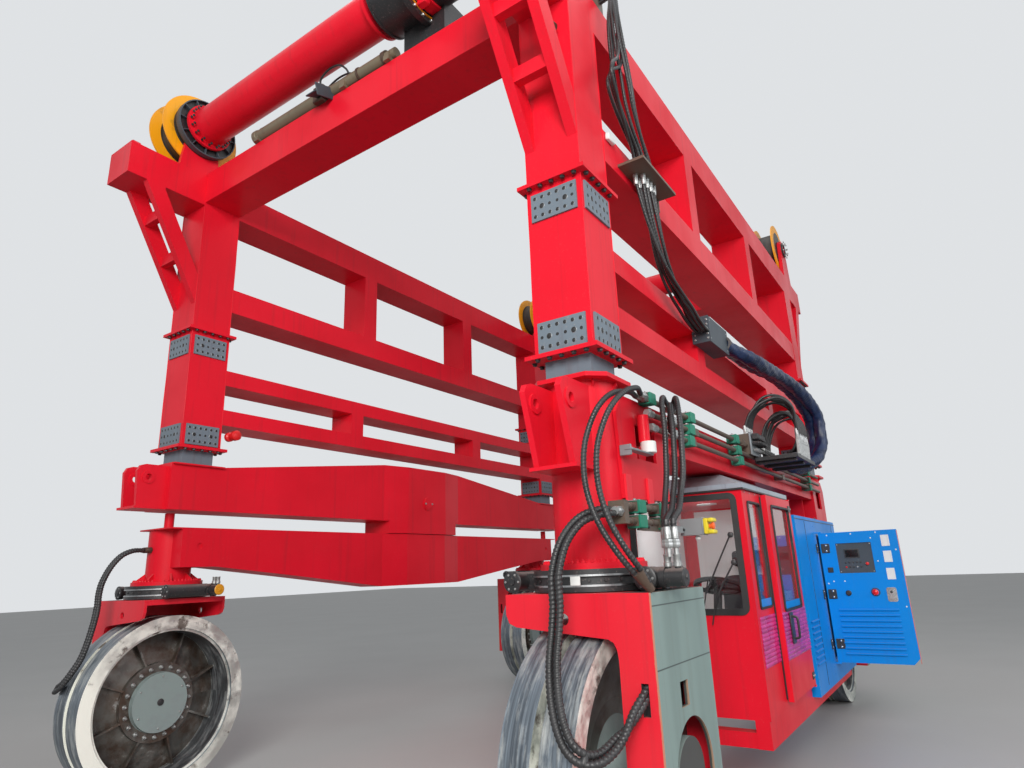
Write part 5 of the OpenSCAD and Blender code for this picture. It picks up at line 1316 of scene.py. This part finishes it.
# power unit: hinge leaves, rivets, louvres, seams, lifting eyes and the opening's gasket
unit = Piece("power_unit_trim", "frame", "blue_paint", "blue black chrome rubber")
for z in powerSet["hinges"]:
    unit.block((0.075, 0.010, 0.09), at(-0.997, 2.505, z), 0.003, 1)
    for s in (-1, 1):
        unit.lathe([(0.0095, 0), (0.0095, 0.003), (0.005, 0.006)], at(-0.980, 2.510, z + 0.027 * s), left, 14, 2)
for k in range(24):
    for x in (-0.175, -0.95):
        unit.lathe([(0.0065, 0), (0.005, 0.0025), (0.0, 0.0032)], at(x, side, 0.6 + 0.06 * k), left, 10, 0)
for x in (-0.56, -2.0):
    unit.block((0.006, 0.004, 1.46), at(x, 2.5005, 1.29), 0.001, 1)
unit.block((2.07, 0.006, 0.006), at(-1.18, 2.501, 2.03), 0.001, 1)
for k in range(8):
    z = 0.78 + powerSet["louvrePitch"] * k
    unit.rings([[at(x, side + d, z + h) for d, h in louvre] for x in run(-0.52, -0.2)])
    unit.rings([[at(x, powerSet["inner"] - d, z + h) for d, h in louvre] for x in run(-1.9, -0.5)])
    unit.rings([[at(powerSet["rear"] - d, y, z + 0.5 + h) for d, h in louvre] for y in run(1.6, 2.3)])
for x in (-0.35, -1.98):
    for y in (1.55, 2.35):
        unit.hoop([(0.026 + c.x, c.y) for c in circle(8, 0.007)], at(x, y, 2.088), left, 20, 1)
        unit.block((0.07, 0.03, 0.014), at(x, y, 2.064), 0.003, 1)
unit.blocks(((0.010, 0.005, 1.16), (-1.068, 2.5005, 1.31), 0.001, 3),
            ((0.010, 0.005, 1.16), (-1.74, 2.5005, 1.31), 0.001, 3),
            ((0.68, 0.005, 0.010), (-1.40, 2.5005, 1.889), 0.001, 3))
unit.make()

engineSet = {"first": -1.55, "pitch": 0.12, "pipe": ((0, 2.09, 1.25), (0, 2.16, 1.29), (0.01, 2.225, 1.22))}
engineTrim = Piece("engine_trim", "frame", "cast_engine", "engine zinc yellow")
for k in range(6):
    x = engineSet["first"] + engineSet["pitch"] * k
    engineTrim.lathe([(0.045, 0), (0.052, 0.006), (0.052, 0.05), (0.044, 0.058)], at(x, 2.07, 1.195), up, 20, 0)
    pipe = [at(x + dx, y, z) for dx, y, z in engineSet["pipe"]] + [at(-1.5 + 0.1 * k, 2.235, 1.1)]
    engineTrim.tube(smoothLine(pipe, 0.02), 0.0085, 8, 1)
engineTrim.lathe([(0.09, 0), (0.1, 0.01), (0.1, 0.24), (0.09, 0.25)], at(-1.25, 1.85, 1.30), ahead, 28, 2)
engineTrim.block((0.5, 0.03, 0.12), at(-1.35, 2.22, 1.02), 0.008, 0)
engineTrim.make()
print("stage: power unit")

# stop button's box on its arm
stopSet = {"x": 2.301, "z": 1.882, "screwX": 0.034, "screwZ": 0.044, "armBolts": (2.36, 2.62, 2.9)}
stopX, stopZ = stopSet["x"], stopSet["z"]
stop = Piece("stop_button", "frame", "yellow_paint", "steelGrey lemon orange white black")
stop.block((0.086, 0.012, 0.106), at(stopX, 2.4705, stopZ), 0.004, 0)
for s in (-1, 1):
    for t in (-1, 1):
        spot = at(stopX + stopSet["screwX"] * s, 2.4765, stopZ + stopSet["screwZ"] * t)
        stop.lathe([(0.0045, 0), (0.0045, 0.003), (0.002, 0.004)], spot, left, 10, 4)
stop.block((0.080, 0.026, 0.094), at(stopX, 2.489, stopZ), 0.004, 1)
for s in (-1, 1):
    stop.block((0.080, 0.036, 0.024), at(stopX, 2.519, stopZ + 0.035 * s), 0.006, 1)
stop.lathe([(0.014, 0), (0.014, 0.014), (0.021, 0.018), (0.022, 0.028), (0.016, 0.034), (0.0, 0.035)],
           at(stopX, 2.500, stopZ), left, 26, 2)
stop.lathe([(0.013, 0), (0.013, -0.008), (0.017, -0.012), (0.017, -0.024), (0.011, -0.03), (0.0, -0.031)],
           at(2.29, 2.42, 1.832), up, 20, 3)
for x in stopSet["armBolts"]:
    stop.bolt(at(x, 2.3565, 1.866), left, 0.014, 0.008, 4)
stop.make()

# valve block's solenoids and end plate, the junction box's lid and the tray under the hoses
valveBlock = {"count": 6, "first": 0.352, "pitch": 0.043, "trayX": 0.10, "trayY": 2.555}
valves = Piece("valve_parts", "frame", "black_paint", "black steelGrey zinc slate")
for k in range(valveBlock["count"]):
    x = valveBlock["first"] + valveBlock["pitch"] * k
    valves.block((0.036, 0.05, 0.05), at(x, 2.43, 2.70), 0.004, 0)
    valves.lathe([(0.017, 0), (0.017, 0.05), (0.012, 0.055), (0.012, 0.066)], at(x, 2.405, 2.64), left, 16, 0)
    valves.lathe([(0.0135, 0), (0.0135, 0.03), (0.008, 0.033)], at(x, 2.405, 2.585), left, 6, 2)
valves.block((0.30, 0.014, 0.20), at(0.46, 2.392, 2.642), 0.004, 1)
for z in (3.425, 3.58):
    for x in (0.83, 1.27):
        valves.bolt(at(x, 2.3592, z), left, 0.014, 0.008, 2)
valves.blocks(((0.006, 0.15, 0.225), (1.3035, 2.295, 3.502), 0.002, 3),
              ((0.51, 0.006, 0.222), (1.05, 2.3635, 3.502), 0.002, 3),
              ((0.51, 0.14, 0.006), (1.05, 2.295, 3.3935), 0.002, 3))
for k in range(5):
    for y in (2.245, 2.35):
        valves.bolt(at(1.3065, y, 3.42 + 0.04 * k), ahead, 0.013, 0.009, 2)
trayX, trayY = valveBlock["trayX"], valveBlock["trayY"]
valves.blocks(((0.74, 0.35, 0.012), (trayX, trayY, 2.506), 0.004, 0),
              ((0.74, 0.012, 0.035), (trayX, 2.384, 2.515), 0.003, 0),
              ((0.74, 0.012, 0.035), (trayX, 2.728, 2.515), 0.003, 0),
              ((0.012, 0.35, 0.035), (-0.268, trayY, 2.515), 0.003, 0),
              ((0.012, 0.35, 0.035), (0.468, trayY, 2.515), 0.003, 0))
for x in (-0.2, 0.10, 0.40):
    valves.blocks(((0.05, 0.32, 0.024), (x, 2.545, 2.489), 0.004, 0),
                  ((0.05, 0.012, 0.15), (x, 2.372, 2.56), 0.003, 0))
valves.block((0.60, 0.05, 0.04), at(0.08, 2.69, 2.53), 0.005, 3)
valves.hoop([(0.058, -0.03), (0.075, -0.028), (0.077, 0.0), (0.075, 0.028), (0.058, 0.03)], at(0.79, 2.32, 3.503),
            ahead, 24, 0)
valves.make()

# hoists: worn drums, brake ribs, flange bolts and cylinder heads
drumLook = {"base": (0.92, 0.39, 0.004), "second": (0.82, 0.33, 0.004), "under": (0.2, 0.15, 0.1), "chips": 0.5,
            "rough": 0.4}
hoistSet = {"x": 3.32, "z": 6.102, "brakeY": 1.8545, "core": 0.286, "motorY": 1.08, "cylinder": (3.22, 5.724),
            "collars": ((-0.10, 0.03), (0.28, 0.025), (0.57, 0.05)),
            "hose": ((0.03, -0.17, 0.08), (0.05, -0.16, 0.15), (0.06, -0.05, 0.19), (0.06, 0.08, 0.17),
                     (0.05, 0.16, 0.1), (0.03, 0.18, 0.05))}


def drumPaint(name, axle):
    finish, t, shader = newFinish(name)
    marks = t.place(turned, Axle=axle)
    coat, rough, height = paintNodes(t, drumLook)
    core = t.ranged(marks["Radius"], hoistSet["core"], hoistSet["core"] + 0.004, 1.0, 0.0)
    dark = t.mix(t.ranged(marks["Rings"], 0.4, 0.6), (0.02, 0.019, 0.018), (0.05, 0.045, 0.04))
    worn = t.mix(t.ranged(marks["Blots"], 0.6, 0.7, 0.0, 0.35), coat, (0.12, 0.07, 0.04))
    t.join(t.mix(core, worn, dark), shader.inputs["Base Color"])
    t.join(rough, shader.inputs["Roughness"])
    addBump(t, shader, marks["Height"], 0.5, 0.003)
    return finish


def spokes(piece, count, centre, radius, size, edge, mark):
    # blocks set round an axle along Y, each turned to face outwards
    for k, p in enumerate(circle(count, radius, "xz")):
        piece.block(size, centre + p, edge, mark, Matrix.Rotation(-2 * math.pi * k / count, 3, "Y"))


for end, sx in (("front", 1), ("rear", -1)):
    hoistX, hoistZ = hoistSet["x"] * sx, hoistSet["z"]
    finish = drumPaint("drumPaint_" + end, (hoistX, 0, hoistZ))
    for slot in nodes["drums_" + end].material_slots:
        slot.material = finish
    still = Piece(f"hoist_{end}_fixed_trim", "frame", "black_paint", "black zinc olive slate brown yellow red")
    turning = Piece(f"hoist_{end}_turning_trim", f"hoist_{end}_body", "red_paint", "black")
    for s in (-1, 1):
        brake = at(hoistX, s * hoistSet["brakeY"], hoistZ)
        spokes(still, 12, brake, 0.262, (0.074, 0.058, 0.009), 0.002, 3)
        still.hoop([(0.292, -0.030), (0.303, -0.027), (0.303, 0.027), (0.292, 0.030)], brake, left, 64, 3)
        still.hoop([(0.229, -0.0245), (0.292, -0.0245), (0.292, -0.022), (0.229, -0.022)], brake, left, 64, 3)
        for small, large in zip(circle(8, 0.088, "xz", 0.5), circle(8, 0.118, "xz", 0.5)):
            still.bolt(at(hoistX, s * 2.3165, hoistZ) + small, left * s, 0.02, 0.012, 1)
            still.bolt(at(hoistX, s * 2.3, hoistZ) + large, left * s, 0.022, 0.012, 1)
        for p in circle(16, 0.205, "xz"):
            for y, out in ((1.776, 1), (1.744, -1)):
                turning.bolt(at(hoistX, s * y, hoistZ) + p, left * s * out, 0.02, 0.012, 0)
    for y in (0.70, 1.03, 1.08):
        still.hoop([(0.247, -0.012), (0.258, -0.009), (0.258, 0.009), (0.247, 0.012)], at(hoistX, y, hoistZ), left,
                   56, 0)
    motor = at(hoistX, hoistSet["motorY"], hoistZ)
    for p in circle(20, 0.305, "xz"):
        still.bolt(motor + p, left, 0.02, 0.012, 1)
    still.hoop([(0.272, 0), (0.290, 0), (0.290, 0.005), (0.272, 0.005)], motor, left, 64, 5)
    still.hoop([(0.229, 0), (0.258, 0), (0.25, 0.10), (0.229, 0.10)], motor, left, 56, 6)
    spokes(still, 9, at(hoistX, 1.125, hoistZ), 0.252, (0.07, 0.09, 0.06), 0.008, 6)
    # rod ends, collars and hoses' ports of the traverse cylinders
    cx, cz = hoistSet["cylinder"][0] * sx, hoistSet["cylinder"][1]
    still.lathe([(0.066, 0), (0.07, 0.004), (0.07, 0.05), (0.066, 0.054)], at(cx, -1.12, cz), left, 28, 2)
    still.lathe([(0.066, 0), (0.07, 0.004), (0.07, 0.06), (0.066, 0.064)], at(cx, -0.185, cz), left, 28, 2)
    still.lathe([(0.05, 0), (0.053, 0.003), (0.053, 0.70), (0.05, 0.703)], at(cx, -0.10, cz), left, 28, 2)
    for y, w in hoistSet["collars"]:
        still.lathe([(0.053, 0), (0.061, 0.004), (0.061, w - 0.004), (0.053, w)], at(cx, y, cz), left, 28, 4)
    still.block((0.15, 0.13, 0.16), at(cx, -0.17, cz), 0.012, 4)
    for size, y, z, tilt in (((0.20, 0.15, 0.012), -0.10, -0.055, 0.5), ((0.20, 0.012, 0.11), -0.03, -0.07, 0.3)):
        still.block(size, at(cx + 0.10 * sx, y, cz + z), 0.003, 3, Matrix.Rotation(tilt * sx, 3, "Y"))
    for s in (-1, 1):
        still.tube(smoothLine([at(cx + x * s, y, cz + z) for x, y, z in hoistSet["hose"]], 0.012), 0.009, 8, 0)
    for y in (-1.06, -0.2):
        still.lathe([(0.016, 0), (0.016, 0.03), (0.011, 0.034)], at(cx, y, cz + 0.06), up, 6, 1)
        for s in (-1, 1):
            still.bolt(at(cx + 0.045 * s, y, cz), left, 0.016, 0.01, 1)
    still.make()
    turning.make()
print("stage: hoists")

# wheels: rim bolts with their shanks, axle cap and the hub cover's small bolts
hubSet = {"rimBolts": (20, 0.275, 0.0365), "coverBolts": (6, 0.205, 0.085)}
rimCount, rimRadius, rimY = hubSet["rimBolts"]
coverCount, coverRadius, coverY = hubSet["coverBolts"]
for corner, centre in wheelCentres.items():
    out = left * (-1 if corner[1] == "l" else 1)
    c = Vector(centre)
    hub = Piece("hub_bolts_" + corner, f"wheel_{corner}_body", "bare_steel", "black zinc")
    for p in circle(rimCount, rimRadius, "xz"):
        hub.bolt(c + out * rimY + p, out, 0.026, 0.017, 1, shank=0.012)
    hub.lathe([(0.028, 0), (0.028, 0.004), (0.02, 0.008), (0.0, 0.009)], c + out * coverY, out, 24, 0)
    for p in circle(coverCount, coverRadius, "xz", 0.5):
        hub.bolt(c + out * coverY + p, out, 0.014, 0.007, 1, washer=False)
    hub.make()

# covers on the rocker's pivot and the red cap on the right sill
caps = Piece("small_caps", "frame", "red_paint", "red zinc redCap")
low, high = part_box("rocker_pin")
pinZ = (low.z + high.z) / 2
for y, s in ((high.y, 1), (low.y, -1)):
    caps.slab([(c.x, c.y * 0.055 / 0.085) for c in circle(28, 0.085)], (0, y, pinZ), left * s, 0.006, 0)
    for x in (-0.06, 0.06):
        caps.bolt(Vector((x, y + s * 0.006, pinZ)), left * s, 0.018, 0.012, 1)
caps.lathe([(0.045, 0), (0.045, 0.03), (0.03, 0.04), (0.03, 0.09), (0.048, 0.1), (0.048, 0.14), (0.03, 0.15)],
           at(2.77, -1.91, 3.0), left, 24, 2)
caps.make()

# grease cup and its arm beside the turret, and the elbow where the hoist hoses start
cupSet = {"x": 2.83, "elbow": ((3.236, 2.10, 5.17), (3.285, 2.10, 5.165), (3.30, 2.13, 5.13), (3.302, 2.19, 5.04))}
cup = Piece("grease_cup", "frame", "bare_steel", "white steelGrey red zinc brown")
cup.lathe([(0.042, 0), (0.045, 0.003), (0.045, 0.062), (0.040, 0.067), (0.0, 0.068)], at(cupSet["x"], 2.372, 2.285),
          up, 28, 0)
cup.lathe([(0.034, 0), (0.034, 0.16)], at(cupSet["x"], 2.352, 2.35), up, 24, 2)
cup.blocks(((0.30, 0.05, 0.012), (2.95, 2.365, 2.278), 0.004, 1),
           ((0.012, 0.07, 0.06), (3.09, 2.345, 2.275), 0.003, 1))
for s in (-1, 1):
    cup.bolt(at(3.02 + 0.04 * s, 2.365, 2.284), up, 0.014, 0.009, 3)
cup.tube(smoothLine([at(*p) for p in cupSet["elbow"]], 0.008), 0.03, 16, 4)
cup.block((0.10, 0.03, 0.05), at(2.775, 2.286, 4.463), 0.006, 0)
cup.make()

# pale lining of the cab, sheets inside its inboard and rear panes, dark floor and the ceiling lamp
liner = Piece("cab_lining", "frame", "console_plastic", "lining black white")
liner.blocks(((1.34, 0.006, 0.64), (0.60, 1.494, 0.99), 0.002, 0),
             ((1.14, 0.004, 0.83), (0.605, 1.497, 1.73), 0.001, 0),
             ((0.006, 0.90, 0.76), (-0.054, 1.95, 1.02), 0.002, 0),
             ((0.004, 0.70, 0.73), (-0.052, 1.95, 1.78), 0.001, 0),
             ((1.34, 0.92, 0.006), (0.60, 1.95, 2.172), 0.002, 0),
             ((1.30, 0.88, 0.008), (0.60, 1.95, 0.648), 0.002, 1))
liner.lathe([(0.09, 0), (0.085, -0.014), (0.0, -0.02)], at(0.6, 1.95, 2.168), up, 28, 2)
liner.make()
print("stage: small parts")

# light, floor and backdrop
lightSet = {"sky": (0.93, 0.96, 1.0), "skyPower": 0.27, "backdrop": (0.74, 0.76, 0.78), "floor": (0.44, 0.44, 0.43),
            "floorHalf": 60, "floorDrop": 0.001}


def makeWorld(look):
    world = bpy.data.worlds.new("studio")
    scene.world = world
    world.use_nodes = True
    t = Tree(world.node_tree)
    back = world.node_tree.nodes["Background"]
    back.inputs[0].default_value = (*look["sky"], 1)
    back.inputs[1].default_value = look["skyPower"]
    seen = t.add("Background")
    seen.inputs[0].default_value = (*look["backdrop"], 1)
    seen.inputs[1].default_value = 1.0
    path, mixed = t.add("LightPath"), t.add("MixShader")
    seenRay = t.maths("MAXIMUM", path.outputs["Is Camera Ray"], path.outputs["Is Transmission Ray"])
    seenRay = t.maths("MAXIMUM", seenRay, path.outputs["Is Glossy Ray"])
    for start, end in zip((seenRay, back.outputs[0], seen.outputs[0]), mixed.inputs):
        t.join(start, end)
    t.join(mixed.outputs[0], world.node_tree.nodes["World Output"].inputs["Surface"])


def makeLamp(name, place, aim, size, power, colour):
    lamp = bpy.data.lights.new(name, "AREA")
    lamp.energy, lamp.size, lamp.color = power, size, colour
    holder = bpy.data.objects.new(name, lamp)
    scene.collection.objects.link(holder)
    holder.location = place
    holder.rotation_euler = (Vector(aim) - Vector(place)).to_track_quat("-Z", "Y").to_euler()


def makeFloor(look):
    mesh = bpy.data.meshes.new("floor")
    grid = bmesh.new()
    bmesh.ops.create_grid(grid, x_segments=8, y_segments=8, size=look["floorHalf"])
    grid.to_mesh(mesh)
    grid.free()
    floor = bpy.data.objects.new("floor", mesh)
    scene.collection.objects.link(floor)
    floor.location.z = cadBox[0].z - look["floorDrop"]
    finish, t, shader = newFinish("paleFloor")
    spot = t.add("TexCoord").outputs
    cloud = t.ranged(t.noise(spot["Object"], 0.6, 4), 0.3, 0.7)
    t.join(t.mix(cloud, look["floor"], darker(look["floor"], 0.94)), shader.inputs["Base Color"])
    shader.inputs["Roughness"].default_value = 0.55
    mesh.materials.append(finish)
    floor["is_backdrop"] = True


makeWorld(lightSet)
makeFloor(lightSet)
makeLamp("key", (12, 6.5, 6.5), (1.5, 0.5, 2.4), 5, 1480, (1.0, 0.98, 0.95))
makeLamp("side", (1, 12, 6), (0, 1, 2.5), 6, 420, (0.95, 0.97, 1.0))
makeLamp("top", (0, 0, 13), (0, 0, 0), 9, 270, (0.96, 0.98, 1.0))
makeLamp("cab", at(0.95, 1.95, 2.12), at(0.25, 1.75, 1.3), 0.5, 5.5, (0.97, 0.99, 1.0))
print("stage: light")

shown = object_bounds()
